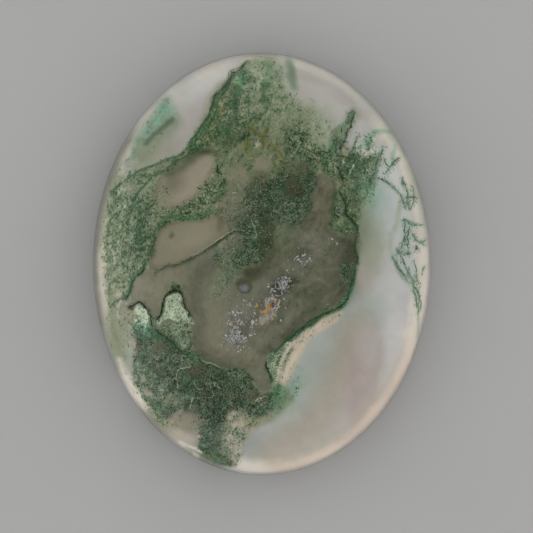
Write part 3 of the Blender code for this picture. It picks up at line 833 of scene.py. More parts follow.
def vary_tone(gem):
    """Small changes of tone all over, and more light on the shoulder and on the steep part of the dome."""
    coarse, fine = hills(gem.x, gem.y, 1.1, 21), hills(gem.x, gem.y, 0.4, 22)
    tone = 1.0 + 0.04 * coarse + 0.03 * fine + 0.08 * gem.shoulder
    ring = out_from_middle(gem.x, gem.y)
    lit_side = 1.0 - 0.5 * ease(gem.x - gem.y, 8.0, 20.0)
    slope = ease(ring, 0.60, 0.80) * (1.0 - ease(ring, 0.88, 0.95)) * lit_side
    gem.colour = np.clip(gem.colour * (tone[:, None] + slope[:, None] * SLOPE_GAIN), 0.0, 1.0)


def paint(gem):
    """Everything in the chalcedony, from the cloudy ground up, with painted light at the rim and on the
    steep part of the dome.
    """
    paint_ground(gem)
    gem.fill(BEIGE, MIDDLE_GROUND, 0.5, 1.0, (0.4, 0.0, 0.0))
    for layer in (
        paint_pockets, paint_rim_with_painted_light, paint_teal_patch, paint_window, paint_left_moss, paint_upper_moss,
        paint_centre_moss, paint_right_moss, paint_lower_moss, paint_lower_right, paint_small_marks,
        paint_along_lines, paint_veils, vary_tone,
    ):
        layer(gem)
    return gem


# How far the clouded stone sinks in the clear parts, and how soft the slope down is: (outline, depth, soft)

SINKS = (
    (DEEP_WINDOW, 1.3, 0.9), (POCKET_HIGH, 0.8, 0.6), (POCKET_MIDDLE, 0.6, 0.4), (POCKET_LOW, 0.6, 0.35),
)


def depth_below_polish(x, y):
    """How far the top of the clouded stone lies under the polish, more in the clear parts."""
    gem = Gem(x, y)
    sink = np.zeros(len(x))
    for outline, depth, soft in SINKS:
        sink = np.maximum(sink, depth * gem.area(outline, soft))
    return SKIN_TOP + sink


# Fine lines that are seen one by one: (colour, width, points), each near the polish

DARK_LINES = [
    (MOSS_GREEN, 0.12, [(-5.9, 12.2), (-6.7, 11.4), (-7.2, 10.6), (-8.0, 10.05), (-9.2, 9.75), (-10.1, 9.3),
                        (-11.6, 8.8), (-12.1, 8.3), (-12.8, 8.0)]),
    (MOSS_GREEN, 0.12, [(-6.0, 10.9), (-7.4, 9.85), (-8.2, 9.6), (-8.7, 9.05), (-10.2, 8.3), (-12.0, 8.3)]),
    (MOSS_GREEN, 0.14, [(-10.3, 8.2), (-10.5, 7.8), (-11.6, 6.7), (-11.9, 6.2)]),
    (MOSS_GREEN, 0.12, [(-10.9, 7.4), (-11.3, 7.6), (-11.7, 7.5)]),
    (MOSS_GREEN, 0.10, [(-12.8, 8.0), (-13.4, 7.4), (-14.2, 6.8)]),
    (MOSS_DARK, 0.14, [(-1.3, 19.3), (-2.2, 18.2), (-2.85, 18.0), (-3.0, 17.5), (-3.6, 16.5), (-4.5, 15.6),
                       (-5.1, 13.8), (-6.9, 11.2)]),
    (MOSS_DARK, 0.14, [(-2.6, 17.9), (-3.5, 16.2), (-4.0, 15.6)]),
    (MOSS_GREEN, 0.12, [(-4.1, 15.3), (-4.5, 13.8), (-5.0, 13.0)]),
    (MOSS_DARK, 0.16, [(8.8, 14.3), (8.3, 12.9), (8.0, 12.4), (7.65, 11.2)]),
    (MOSS_GREEN, 0.10, [(9.05, 12.1), (8.8, 11.5), (8.5, 10.3), (8.2, 9.8), (8.0, 9.3)]),
    (MOSS_GREEN, 0.12, [(7.15, 12.0), (6.9, 10.4)]),
    (MOSS_DARK, 0.15, [(8.75, -0.5), (8.1, -2.8), (7.7, -3.65), (6.9, -4.2), (5.5, -4.8), (4.3, -5.6),
                       (1.1, -8.2)]),
    (MOSS_BLACK, 0.12, [(0.42, -9.0), (0.5, -9.7), (1.0, -11.0)]),
    (MOSS_DARK, 0.13, [(7.2, 6.9), (7.9, 5.2), (7.9, 4.6), (8.3, 4.2), (8.9, 3.2), (8.65, 1.5), (8.9, 0.8),
                       (8.95, 0.1)]),
    (MOSS_DARK, 0.16, [(-10.9, 0.1), (-11.2, -0.8), (-11.8, -1.3), (-12.3, -2.1), (-12.5, -3.0),
                       (-12.9, -3.3)]),
    (MOSS_GREEN, 0.10, [(-13.3, -3.3), (-14.0, -3.7), (-14.3, -4.2)]),
    (MOSS_DARK, 0.06, [(-1.9, 3.05), (-2.6, 2.95), (-3.3, 2.55), (-5.8, 0.9), (-7.4, 0.15), (-8.8, -0.25),
                       (-9.5, -0.55), (-10.0, -0.95)]),
    (MOSS_DARK, 0.10, [(-10.0, -6.15), (-9.4, -6.65), (-8.8, -7.0), (-7.5, -8.3)]),
    (MOSS_DARK, 0.14, [(-4.1, 9.1), (-4.2, 8.6), (-3.8, 8.4)]),
    (MOSS_BLACK, 0.15, [(-9.9, -5.2), (-9.55, -5.0), (-9.35, -4.5), (-9.3, -3.9), (-9.05, -3.2),
                        (-8.75, -2.8)]),
    (MOSS_BLACK, 0.18, [(-8.8, -2.85), (-8.4, -2.6), (-8.0, -2.55), (-7.55, -2.75), (-7.3, -3.3)]),
    (MOSS_BLACK, 0.15, [(-7.3, -3.3), (-7.15, -4.0), (-6.85, -4.45), (-6.8, -4.95)]),
    (MOSS_BLACK, 0.15, [(-12.5, -4.1), (-12.0, -3.9), (-11.6, -3.65), (-11.1, -3.85), (-10.5, -4.75),
                        (-10.3, -5.9)]),
    (MOSS_DARK, 0.20, [(-1.3, 12.1), (-2.0, 11.5)]),
]
FRONDS = [
    (MOSS_GREEN, 0.18, [(11.4, 10.9), (11.2, 10.3), (10.9, 9.8), (10.6, 8.4)]),
    (MOSS_GREEN, 0.18, [(12.9, 10.0), (12.4, 9.6), (11.65, 8.6)]),
    (FROND, 0.12, [(11.5, 9.8), (11.7, 9.4), (11.9, 9.2)]),
    (MOSS_GREEN, 0.14, [(10.8, 8.0), (11.4, 7.9), (12.2, 7.3)]),
    (FROND, 0.10, [(12.2, 7.3), (12.8, 6.8), (13.3, 6.0), (13.4, 5.4)]),
    (FROND, 0.16, [(13.3, 8.2), (13.2, 7.8), (13.5, 7.4), (13.4, 7.8)]),
    (FROND, 0.12, [(13.5, 7.5), (13.7, 6.7), (13.7, 5.9), (13.5, 5.2)]),
    (FROND, 0.12, [(13.7, 6.2), (14.2, 6.3), (14.7, 6.2)]),
    (FROND, 0.10, [(14.3, 7.4), (14.4, 6.5), (14.2, 5.6), (13.9, 5.1), (13.8, 5.6)]),
    (MOSS_GREEN, 0.16, [(13.3, 4.0), (13.5, 4.2), (13.9, 3.8)]),
    (FROND, 0.14, [(13.9, 3.8), (14.5, 3.7), (15.3, 3.7)]),
    (MOSS_GREEN, 0.15, [(13.45, 4.0), (13.35, 2.3), (13.1, 1.7)]),
    (MOSS_GREEN, 0.13, [(13.9, 3.6), (13.7, 2.2), (13.75, 1.5)]),
    (FROND, 0.10, [(13.6, 3.0), (13.3, 1.6)]),
    (FROND, 0.15, [(14.2, 2.7), (14.6, 2.2), (15.6, 1.7)]),
    (FROND, 0.10, [(15.6, 2.4), (15.2, 2.0)]),
    (FROND, 0.34, [(14.45, 1.5), (14.65, 1.4)]),
    (FROND, 0.40, [(12.75, 1.2), (12.95, 1.0)]),
    (FROND, 0.36, [(13.7, 1.1), (13.8, 0.9)]),
    (FROND, 0.12, [(12.3, 0.8), (12.9, -0.6)]),
    (FROND, 0.11, [(13.0, 0.9), (13.7, -0.8), (14.1, -1.4)]),
    (MOSS_GREEN, 0.20, [(12.8, -0.3), (13.9, -1.9)]),
    (FROND, 0.20, [(14.2, -1.4), (14.6, -2.7)]),
    (FROND, 0.14, [(14.4, -2.2), (14.8, -2.9), (15.05, -3.9), (15.05, -4.3)]),
    (FROND, 0.11, [(14.3, 0.2), (14.8, -2.0)]),
    (FROND, 0.10, [(15.4, -0.2), (15.1, -0.8)]),
    (FROND, 0.12, [(14.2, -2.3), (14.7, -3.9), (14.8, -4.6)]),
    (FROND, 0.06, [(14.8, -4.8), (14.85, -6.0), (14.7, -7.0)]),
]
PALE_LINES = [
    (SAGE, 0.11, [(7.0, 5.4), (6.9, 4.9), (7.15, 4.6), (7.6, 4.4)]),
    (SAGE, 0.10, [(-7.5, -8.4), (-7.4, -8.9), (-7.0, -9.1)]),
    (SAGE, 0.11, [(-6.8, -9.2), (-6.7, -9.6), (-7.3, -9.7), (-7.9, -10.0), (-8.0, -10.7)]),
    (SAGE, 0.10, [(-8.5, -11.0), (-8.0, -10.7), (-7.8, -11.8)]),
    (SAGE, 0.09, [(-8.5, -9.9), (-8.9, -9.6), (-9.2, -9.7)]),
    (SAGE, 0.10, [(-10.0, -8.6), (-9.8, -9.0), (-9.4, -8.4)]),
    (SAGE, 0.09, [(-6.3, -12.4), (-6.6, -13.0), (-6.7, -13.6)]),
    (SAGE, 0.09, [(-5.5, -11.8), (-6.0, -11.6), (-6.3, -11.1)]),
    (SAGE, 0.09, [(-4.5, -11.0), (-4.3, -11.4), (-3.8, -11.6)]),
    (SAGE, 0.10, [(-5.8, -8.7), (-5.4, -9.1), (-4.7, -9.3), (-3.8, -9.7)]),
    (SAGE, 0.10, [(-2.9, -9.9), (-2.3, -10.2), (-1.9, -10.8)]),
    (SAGE, 0.08, [(-11.0, -3.5), (-10.8, -3.2), (-10.5, -3.3)]),
    (SAGE, 0.08, [(-6.7, -7.0), (-6.9, -7.2), (-6.8, -7.5)]),
    (CREAM, 0.09, [(-0.6, -12.9), (-0.4, -12.6), (0.3, -12.4)]),
    (CREAM, 0.08, [(-0.6, -13.7), (-1.0, -14.2)]),
    (CREAM, 0.10, [(3.1, -7.1), (2.3, -8.2), (1.7, -9.5), (1.6, -10.3)]),
    (BEIGE, 0.10, [(-1.5, 19.3), (-1.9, 18.75), (-2.4, 18.35), (-3.05, 18.15), (-3.2, 17.5), (-3.5, 17.1),
                   (-3.8, 16.6), (-4.7, 15.65), (-4.95, 15.0)]),
    (TAN_PALE, 0.08, [(-2.0, 3.2), (-2.7, 3.15), (-3.4, 2.75), (-5.8, 1.15), (-6.6, 0.75)]),
    (OLIVE, 0.14, [(-1.4, 13.1), (-0.3, 12.1), (0.2, 11.4), (0.1, 10.7)]),
    (OLIVE, 0.12, [(0.6, 12.9), (0.3, 12.3), (0.2, 11.6)]),
    (OLIVE, 0.12, [(-1.3, 12.8), (-1.45, 11.7), (-1.5, 10.4)]),
    (OLIVE, 0.12, [(1.0, 11.0), (1.95, 10.0), (1.7, 8.5)]),
    (SAGE, 0.09, [(1.0, -8.6), (1.5, -8.5), (1.9, -8.1)]),
    (SAGE, 0.08, [(0.8, -9.3), (1.2, -9.2), (1.5, -8.9)]),
    (SAGE, 0.08, [(1.0, -10.0), (1.3, -9.7)]),
    (SAGE, 0.08, [(-1.0, 4.1), (-0.5, 2.9), (-0.6, 2.2)]),
    (SAGE, 0.08, [(-1.3, 0.9), (-1.8, 0.6), (-2.2, 0.1)]),
]

# Plates of the healed cracks: (outline, colour), and scattered ones: (middle, spread, turn, count, colour)

FLAKES = [
    ([(0.28, -4.35), (0.7, -3.7), (0.8, -3.75), (1.05, -4.4)], ORANGE),
    ([(-0.1, -4.4), (0.6, -4.38), (0.6, -4.6), (-0.05, -4.6)], ORANGE),
    ([(-0.6, -4.0), (-0.5, -3.6), (-0.3, -3.8), (-0.35, -4.05)], ORANGE),
    ([(0.4, -5.55), (0.6, -5.35), (0.7, -5.45), (0.5, -5.65)], ORANGE),
    ([(1.1, -3.6), (1.2, -3.3), (1.4, -3.3), (1.25, -3.65)], ORANGE),
    ([(-2.55, -5.4), (-2.4, -5.25), (-2.3, -5.4)], ORANGE),
    ([(-2.95, -5.6), (-2.8, -5.5), (-2.65, -5.7), (-2.85, -5.8)], YELLOW),
    ([(0.95, -3.6), (1.15, -3.6), (1.2, -4.0), (1.0, -4.15), (0.88, -3.9)], VIOLET),
    ([(-0.42, -5.6), (-0.25, -5.2), (0.0, -4.6), (0.75, -4.65), (0.95, -4.8), (0.6, -5.3), (0.1, -5.75)],
     TAN_PALE),
    ([(1.65, -3.3), (1.75, -3.4), (1.4, -4.4), (1.25, -4.4)], WHITE),
    ([(0.3, -3.3), (0.42, -3.3), (0.55, -4.25), (0.42, -4.3)], WHITE),
    ([(0.55, -3.35), (0.66, -3.35), (0.68, -3.9), (0.58, -4.1)], TAN_PALE),
    ([(0.3, -3.22), (1.0, -3.2), (1.6, -3.3), (1.0, -3.32)], SILVER_GLINT),
    ([(0.98, -4.55), (1.1, -4.5), (1.0, -5.05), (0.88, -5.0)], WHITE),
    ([(-1.25, -3.8), (-1.05, -3.7), (-0.9, -3.9), (-1.1, -4.0)], TAN_PALE),
    ([(-1.05, -5.4), (-0.85, -5.15), (-0.65, -5.5), (-0.85, -5.7)], WHITE),
]
SPECKS = [
    ((1.9, -2.0), (1.3, 0.7), 45, 320, SILVER_GLINT),
    ((1.9, -1.9), (1.2, 0.8), 45, 40, DEEP),
    ((0.9, -4.3), (0.8, 1.2), 0, 140, SILVER_GLINT),
    ((-2.1, -5.8), (1.4, 1.8), -10, 400, SILVER_GLINT),
    ((-2.0, -7.0), (1.2, 0.9), 0, 120, SILVER_GLINT),
    ((-1.8, -5.6), (1.4, 1.6), 0, 50, DEEP),
    ((-0.9, -5.0), (0.7, 0.9), 0, 90, WHITE),
    ((3.7, 0.5), (0.9, 0.8), 0, 60, SILVER_GLINT),
    ((6.4, 2.3), (0.9, 0.4), 0, 12, SILVER_GLINT),
    ((0.6, -4.4), (0.9, 1.0), 0, 22, ORANGE),
    ((-2.0, -5.4), (1.2, 0.6), 0, 9, ORANGE),
]

# How often the place, or the depth, of a point seen through the polish is corrected

PLACE_ROUNDS = 4
DEPTH_ROUNDS = 2

# Threads: points along one, its tip's thickness as a share of the middle's, and how far out it may lie
THREAD_STEPS = 6
THREAD_TIP = 0.3
THREAD_LIMIT = 0.975

# Threads lie this far above the clouded stone and up to so much more, but this far under the polish at least
THREAD_GAP = 0.04
THREAD_RISE = 0.16
THREAD_COVER = 0.12

# Lines placed one by one shake sideways by this many millimetres; they and the scattered threads change in
# thickness by about these shares
LINE_SHAKE = 0.05
LINE_LUMPS = 0.45
THREAD_LUMPS = 0.3

# Scattered places are tried in a box of this half width and half length, this many for each one wanted
SCATTER_X, SCATTER_Y = 15.6, 19.6
TRIES = 60

# Plates of the healed cracks: how thick, how far under the polish and how much they lean
PLATE_THICKNESS = 0.02
PLATE_DEPTH = (0.5, 1.2)
PLATE_LEAN = 0.2

# Scattered plates: their size, their length and width as shares of it, and how they gather on random hills
PLATE_SIZE = (0.03, 0.12)
PLATE_LENGTH, PLATE_WIDTH = 1.3, 0.7
PLATE_HILLS, PLATE_HILLS_SEED = 0.5, 90
PLATE_SHORE = -0.1

# Where the random draws of the drawn lines and of the plates start
LINES_SEED = 5
PLATES_SEED = 9


# Building meshes

def true_place(x, y, depth):
    """The place of a point this deep that is seen from above at x, y."""
    px, py = np.array(x, float), np.array(y, float)
    for _ in range(PLACE_ROUNDS):
        sx, sy = seen_place(px, py, depth)
        px, py = px + x - sx, py + y - sy
    return px, py


def fast_mesh(name, points, triangles, smooth=True):
    """A mesh from arrays of points in millimetres and triangles."""
    mesh = bpy.data.meshes.new(name)
    mesh.vertices.add(len(points))
    mesh.vertices.foreach_set("co", (points * MM).astype(np.float32).ravel())
    mesh.loops.add(3 * len(triangles))
    mesh.loops.foreach_set("vertex_index", triangles.astype(np.int32).ravel())
    mesh.polygons.add(len(triangles))
    mesh.polygons.foreach_set("loop_start", (3 * np.arange(len(triangles))).astype(np.int32))
    mesh.update(calc_edges=True)
    if smooth:
        mesh.shade_smooth()
    return mesh


def new_piece(name, mesh, material):
    """A piece of the stone that rides on its one body."""
    piece = bpy.data.objects.new(name, mesh)
    bpy.context.scene.collection.objects.link(piece)
    mesh.materials.append(material)
    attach(piece, "root")
    return piece


def give_colour(mesh, name, colour, alpha=None):
    """Stores a colour, and a fourth value with it, for each point of the mesh."""
    attribute = mesh.attributes.new(name, "FLOAT_COLOR", "POINT")
    fourth = np.ones(len(colour)) if alpha is None else alpha
    rgba = np.concatenate([colour, fourth[:, None]], 1)
    attribute.data.foreach_set("color", rgba.astype(np.float32).ravel())


def tubes(paths, radii, sides=4, flat=0.7):
    """Closed tubes along paths of shape (tubes, points, 3): their corner points and triangles."""
    forward = np.gradient(paths, axis=1)
    forward /= np.linalg.norm(forward, axis=2, keepdims=True) + SHORTEST
    side = np.cross(forward, np.array((0.0, 0.0, 1.0)))
    side /= np.linalg.norm(side, axis=2, keepdims=True) + SHORTEST
    up = np.cross(side, forward)
    angle = 2.0 * math.pi * (np.arange(sides) + 0.5) / sides
    spread = np.cos(angle)[:, None] * side[:, :, None, :] + flat * np.sin(angle)[:, None] * up[:, :, None, :]
    points = paths[:, :, None, :] + radii[:, :, None, None] * spread
    count, length = paths.shape[:2]
    i, j = np.meshgrid(np.arange(length - 1), np.arange(sides), indexing="ij")
    a, b = (i * sides + j).ravel(), (i * sides + (j + 1) % sides).ravel()
    walls = np.concatenate([np.stack([a, b, b + sides], 1), np.stack([a, b + sides, a + sides], 1)])
    fan = np.arange(1, sides - 1)
    start = np.stack([0 * fan, fan + 1, fan], 1)
    end = np.stack([0 * fan, fan, fan + 1], 1) + (length - 1) * sides
    one = np.concatenate([walls, start, end])
    offsets = (np.arange(count) * length * sides)[:, None, None]
    return points.reshape(-1, 3), (one[None] + offsets).reshape(-1, 3)


def taper(length):
    """Thread thickness along its length: full in the middle, thin at both ends."""
    return THREAD_TIP + (1.0 - THREAD_TIP) * np.sin(np.pi * np.linspace(0.0, 1.0, length)) ** 0.5


def under_skin(x, y, depth):
    """Points (x, y, z) this deep below the polish that are seen from above at x, y."""
    px, py = true_place(x, y, depth)
    return np.stack([px, py, dome(out_from_middle(px, py)) - depth], -1)


def drawn_lines(name, lines, depth, material):
    """The fine lines that were placed one by one."""
    random = np.random.default_rng(LINES_SEED)
    points, triangles, colours, count = [], [], [], 0
    for tone, width, places in lines:
        line = smooth_line(places, spans=6)
        line = line + LINE_SHAKE * random.standard_normal(line.shape)
        path = under_skin(line[:, 0], line[:, 1], np.full(len(line), depth))
        lumps = 1.0 + LINE_LUMPS * random.standard_normal(len(line)).clip(-1.6, 2.0)
        radius = 0.5 * width * taper(len(line)) * lumps
        tube_points, tube_triangles = tubes(path[None], radius[None], sides=6)
        points.append(tube_points)
        triangles.append(tube_triangles + count)
        colours.append(np.tile(tone * random.uniform(0.85, 1.15), (len(tube_points), 1)))
        count += len(tube_points)
    mesh = fast_mesh(name, np.concatenate(points), np.concatenate(triangles))
    give_colour(mesh, "tint", np.concatenate(colours))
    return new_piece(name, mesh, material)


def scatter(random, count, chance):
    """Random places on the stone, more of them where chance(x, y) is high."""
    x = random.uniform(-SCATTER_X, SCATTER_X, TRIES * count)
    y = random.uniform(-SCATTER_Y, SCATTER_Y, TRIES * count)
    inside = out_from_middle(x, y) < STEEP
    x, y = x[inside], y[inside]
    keep = np.flatnonzero(random.uniform(0.0, 1.0, len(x)) < chance(x, y))[:count]
    return x[keep], y[keep]


def tangle(name, count, chance, tones, seed, material,
           length=(0.2, 0.6), width=(0.05, 0.10), curl=5.0, ahead=None):
    """Many short curling threads, scattered by chance.

    Length and width are the least and the greatest in millimetres, and curl is about how many radians they
    bend at most. Ahead is the way in degrees that they mostly run; without it they run all ways.
    """
    random = np.random.default_rng(seed)
    x, y = scatter(random, count, chance)
    threads = len(x)
    heading = random.uniform(0.0, 2.0 * math.pi, threads)
    if ahead is not None:
        heading = math.radians(ahead) + random.normal(0.0, 0.35, threads)
    bend = random.uniform(0.3, 1.0, threads) * random.choice((-1.0, 1.0), threads) * curl / THREAD_STEPS
    reach = random.uniform(*length, threads) / THREAD_STEPS
    xs, ys = [x], [y]
    for _ in range(THREAD_STEPS - 1):
        heading = heading + bend + random.normal(0.0, 0.3, threads)
        xs.append(xs[-1] + reach * np.cos(heading))
        ys.append(ys[-1] + reach * np.sin(heading))
    x, y = np.stack(xs, 1), np.stack(ys, 1)
    shrink = np.minimum(1.0, THREAD_LIMIT / np.maximum(out_from_middle(x, y), 0.001))
    x, y = x * shrink, y * shrink
    bed = depth_below_polish(x.ravel(), y.ravel()).reshape(x.shape)
    depth = np.maximum(bed - THREAD_GAP - random.uniform(0.0, THREAD_RISE, threads)[:, None], THREAD_COVER)
    thick = 0.5 * random.uniform(*width, threads)[:, None] * taper(THREAD_STEPS)[None]
    thick = thick * (1.0 + THREAD_LUMPS * random.standard_normal(thick.shape).clip(-1.5, 2.0))
    points, triangles = tubes(under_skin(x, y, depth), thick, sides=4)
    mesh = fast_mesh(name, points, triangles)
    tone = np.array(tones)[random.integers(0, len(tones), threads)] * random.uniform(0.8, 1.2, (threads, 1))
    give_colour(mesh, "tint", np.clip(np.repeat(tone, THREAD_STEPS * 4, 0), 0.0, 1.0))
    return new_piece(name, mesh, material)


def turned(x, y, angle):
    """The point, or the points, turned about the origin."""
    return x * math.cos(angle) - y * math.sin(angle), x * math.sin(angle) + y * math.cos(angle)


def scattered_plates(random):
    """Small plates with three to five corners, in loose clusters: (outline, colour)."""
    plates = []
    for middle, spread, turn, count, tone in SPECKS:
        for _ in range(count):
            u, v = random.normal(0.0, 0.5, 2) * spread
            place = np.array(middle) + turned(u, v, math.radians(turn))
            if hills(place[:1], place[1:], PLATE_HILLS, PLATE_HILLS_SEED)[0] < PLATE_SHORE:
                continue
            sides = int(random.integers(3, 6))
            way = random.uniform(0.0, math.pi)
            size = random.uniform(*PLATE_SIZE)
            corner = 2.0 * math.pi * np.arange(sides) / sides + random.uniform(0.0, 1.0)
            along, across = PLATE_LENGTH * size * np.cos(corner), PLATE_WIDTH * size * np.sin(corner)
            outline = np.stack(turned(along, across, way), 1)
            # Each plate is laid darker or lighter by chance; the lightest ones are painted glints
            plates.append((place + outline, tone * (0.5 + 2.2 * random.uniform() ** 2)))
    return plates


def flakes(name, material):
    """Small thin plates that hang in the clear smoky part; their silver and white, and the lightest of the
    scattered ones, are painted glints.
    """
    random = np.random.default_rng(PLATES_SEED)
    plates = [(np.array(outline), tone) for outline, tone in FLAKES] + scattered_plates(random)
    points, triangles, colours, base = [], [], [], 0
    for outline, tone in plates:
        sides = len(outline)
        lean, way = random.uniform(0.0, PLATE_LEAN), random.uniform(0.0, 2.0 * math.pi)
        tilt = lean * (outline - outline.mean(0)) @ np.array((math.cos(way), math.sin(way)))
        top = under_skin(outline[:, 0], outline[:, 1], random.uniform(*PLATE_DEPTH))
        top[:, 2] = top[:, 2].mean() + tilt
        points += [top, top - np.array([0.0, 0.0, PLATE_THICKNESS])]
        fan, i = np.arange(1, sides - 1), np.arange(sides)
        after = (i + 1) % sides
        triangles.append(base + np.concatenate([
            np.stack([0 * fan, fan, fan + 1], 1), np.stack([0 * fan, fan + 1, fan], 1) + sides,
            np.stack([i, i + sides, after + sides], 1), np.stack([i, after + sides, after], 1),
        ]))
        colours.append(np.tile(tone, (2 * sides, 1)))
        base += 2 * sides
    mesh = fast_mesh(name, np.concatenate(points), np.concatenate(triangles), smooth=False)
    give_colour(mesh, "tint", np.clip(np.concatenate(colours), 0.0, 1.0))
    return new_piece(name, mesh, material)


# Where threads lie: each function gives the chance of one at x, y, from 0 to 1

def web_chance(x, y):
    """High where the thin white cracks run through the clear part."""
    gem = Gem(x, y)
    web = np.zeros(len(x))
    for place, size, turn, share in (
        ((-2.3, -6.2), (1.2, 1.7), -10, 1.0), ((-0.9, -4.8), (0.9, 1.0), 0, 0.6),
        ((1.8, -2.3), (1.1, 0.8), 30, 0.9), ((0.6, -4.2), (0.9, 1.0), 0, 0.8),
        ((3.6, 0.6), (0.9, 0.7), 20, 0.25), ((-2.0, -3.4), (1.0, 0.6), 0, 0.2),
    ):
        web = np.maximum(web, share * gem.oval(place, size, turn, 0.6))
    return web


def dark_chance(x, y):
    """High in the dark net, lower in the green mottling."""
    gem = paint(Gem(x, y))
    return np.clip(0.8 * gem.growth[:, 1] + 0.25 * gem.growth[:, 0] - 0.1, 0.0, 1.0)


def pale_chance(x, y):
    """High where the pale fibres grow."""
    return np.clip(1.5 * paint(Gem(x, y)).growth[:, 2] - 0.4, 0.0, 1.0)


def dense_chance(x, y):
    """High where the growth is thickest and black grains lie among pale ones."""
    gem = Gem(x, y)
    masses = np.maximum(gem.area(CENTRE_MASS, 0.5), gem.area(LOW_MASS, 0.5))
    return np.maximum(0.6 * masses, gem.band(SPINE, 1.2, 0.5))


def strand_chance(x, y):
    """High in the trunk at the bottom, lower in the tip at the upper right."""
    gem = Gem(x, y)
    return np.maximum(gem.area(TRUNK, 0.3), 0.6 * gem.area(PLUME_TIP, 0.2))


def plume_chance(x, y):
    """High in the plume along the clear pocket, most of all in its left part."""
    plume = Gem(x, y).area(PLUME, 0.3)
    return np.maximum(plume * ease(x, 0.0, -3.0), 0.6 * plume)


def beside(lines):
    """A function that gives the chance of twigs: high close to these lines."""
    def chance(x, y):
        gem = Gem(x, y)
        near = np.zeros(len(x))
        for _, width, points in lines:
            near = np.maximum(near, gem.band(points, width + 0.1, 0.22))
        return near
    return chance


# Patterns as noise scales: the larger the scale, the smaller the pattern
HAZE_SCALE = 1700.0
PATCH_SCALE = 1300.0
GRAIN_SCALE = 5600.0
NET_SCALE = 3300.0
FIBRE_SCALE = 2200.0
FLECK_SCALE = 2600.0
OPENING_SCALE = 900.0
SHADE_SCALE = 1100.0
TUFT_SCALE = 1000.0
THREAD_SCALE = 2500.0
CRACK_SCALE = 3000.0
CLEAR_SCALE = 260.0
POLISH_SCALE = 900.0
FLOOR_SCALE = 40.0

# What makes patterns wander: the scale of a noise and how far it pushes them, in metres
BEND_SCALE = 2000.0
BEND = 0.00035

# The places of the two colours and of the result among a mix node's sockets
MIX_FIRST, MIX_SECOND, MIX_RESULT = 6, 7, 2


# Materials

class Look:
    """A node material that is put together from a few kinds of node."""

    def __init__(self, name):
        self.material = bpy.data.materials.new(name)
        self.material.use_nodes = True
        self.nodes = self.material.node_tree.nodes
        self.links = self.material.node_tree.links
        self.shader = self.nodes["Principled BSDF"]
        self.place = self.nodes.new("ShaderNodeTexCoord").outputs["Object"]

    def put(self, socket, value):
        """Links an output to a socket, or sets the socket to a plain value."""
        if isinstance(value, bpy.types.NodeSocket):
            self.links.new(value, socket)
        elif isinstance(value, (tuple, np.ndarray)):
            socket.default_value = (*value, 1.0)
        else:
            socket.default_value = value

    def shade(self, values):
        """Sets the shader's sockets, by their names, to these values."""
        for name, value in values.items():
            self.put(self.shader.inputs[name], value)

    def noise(self, scale, detail=2.0, roughness=0.5, place=None):
        """A cloudy pattern from 0 to 1."""
        node = self.nodes.new("ShaderNodeTexNoise")
        self.put(node.inputs["Vector"], place or self.place)
        node.inputs["Scale"].default_value = scale
        node.inputs["Detail"].default_value = detail
        node.inputs["Roughness"].default_value = roughness
        return node.outputs["Fac"]

    def stretched(self, direction, amount):
        """Places on which patterns come out longer along a direction in degrees."""
        node = self.nodes.new("ShaderNodeMapping")
        node.vector_type = "TEXTURE"
        self.put(node.inputs["Vector"], self.place)
        node.inputs["Rotation"].default_value = (0.0, 0.0, math.radians(direction))
        node.inputs["Scale"].default_value = (amount, 1.0, 1.0)
        return node.outputs["Vector"]

    def bent(self, scale, amount, place):
        """Places pushed about by a noise, so that patterns on them aren't regular."""
        warp = self.nodes.new("ShaderNodeTexNoise")
        self.put(warp.inputs["Vector"], place)
        warp.inputs["Scale"].default_value = scale
        push = self.nodes.new("ShaderNodeVectorMath")
        push.operation = "MULTIPLY_ADD"
        self.put(push.inputs[0], warp.outputs["Color"])
        push.inputs[1].default_value = (amount, amount, amount)
        self.put(push.inputs[2], place)
        return push.outputs["Vector"]

    def cells(self, scale, place):
        """Distance to the borders of cells."""
        node = self.nodes.new("ShaderNodeTexVoronoi")
        node.feature = "DISTANCE_TO_EDGE"
        self.put(node.inputs["Vector"], place)
        node.inputs["Scale"].default_value = scale
        return node.outputs["Distance"]

    def curve(self, value, low, high, to_low=0.0, to_high=1.0):
        """Maps low..high smoothly to to_low..to_high."""
        node = self.nodes.new("ShaderNodeMapRange")
        node.interpolation_type = "SMOOTHSTEP"
        settings = {"Value": value, "From Min": low, "From Max": high, "To Min": to_low, "To Max": to_high}
        for name, setting in settings.items():
            self.put(node.inputs[name], setting)
        return node.outputs["Result"]

    def maths(self, operation, first, second=0.0):
        """What an operation on two values gives."""
        node = self.nodes.new("ShaderNodeMath")
        node.operation = operation
        self.put(node.inputs[0], first)
        self.put(node.inputs[1], second)
        return node.outputs["Value"]

    def times(self, first, second):
        """The product of two values."""
        return self.maths("MULTIPLY", first, second)

    def mix(self, share, first, second, blend="MIX"):
        """A mix of two colours, from the first at share 0 to the second at share 1."""
        node = self.nodes.new("ShaderNodeMix")
        node.data_type = "RGBA"
        node.blend_type = blend
        self.put(node.inputs["Factor"], share)
        self.put(node.inputs[MIX_FIRST], first)
        self.put(node.inputs[MIX_SECOND], second)
        return node.outputs[MIX_RESULT]

    def stored(self, name, output="Color"):
        """A colour that the mesh holds, or the fourth value that is kept with it."""
        node = self.nodes.new("ShaderNodeAttribute")
        node.attribute_name = name
        return node.outputs[output]

    def over(self, below, mask, amount, colour, blend="MIX"):
        """Lays a colour over another where a mask is high and as far as the amount allows."""
        return self.mix(self.times(mask, amount), below, colour, blend)

    def darken(self, below, mask, amount):
        """Darkens a colour in patches."""
        return self.over(below, mask, amount, DARKER, "MULTIPLY")

    def lighten(self, below, mask, amount):
        """Lightens a colour in patches."""
        return self.over(below, mask, amount, LIGHTER, "MULTIPLY")

    def split(self, colour):
        """The red, green and blue of a colour."""
        node = self.nodes.new("ShaderNodeSeparateColor")
        self.put(node.inputs["Color"], colour)
        return node.outputs["Red"], node.outputs["Green"], node.outputs["Blue"]


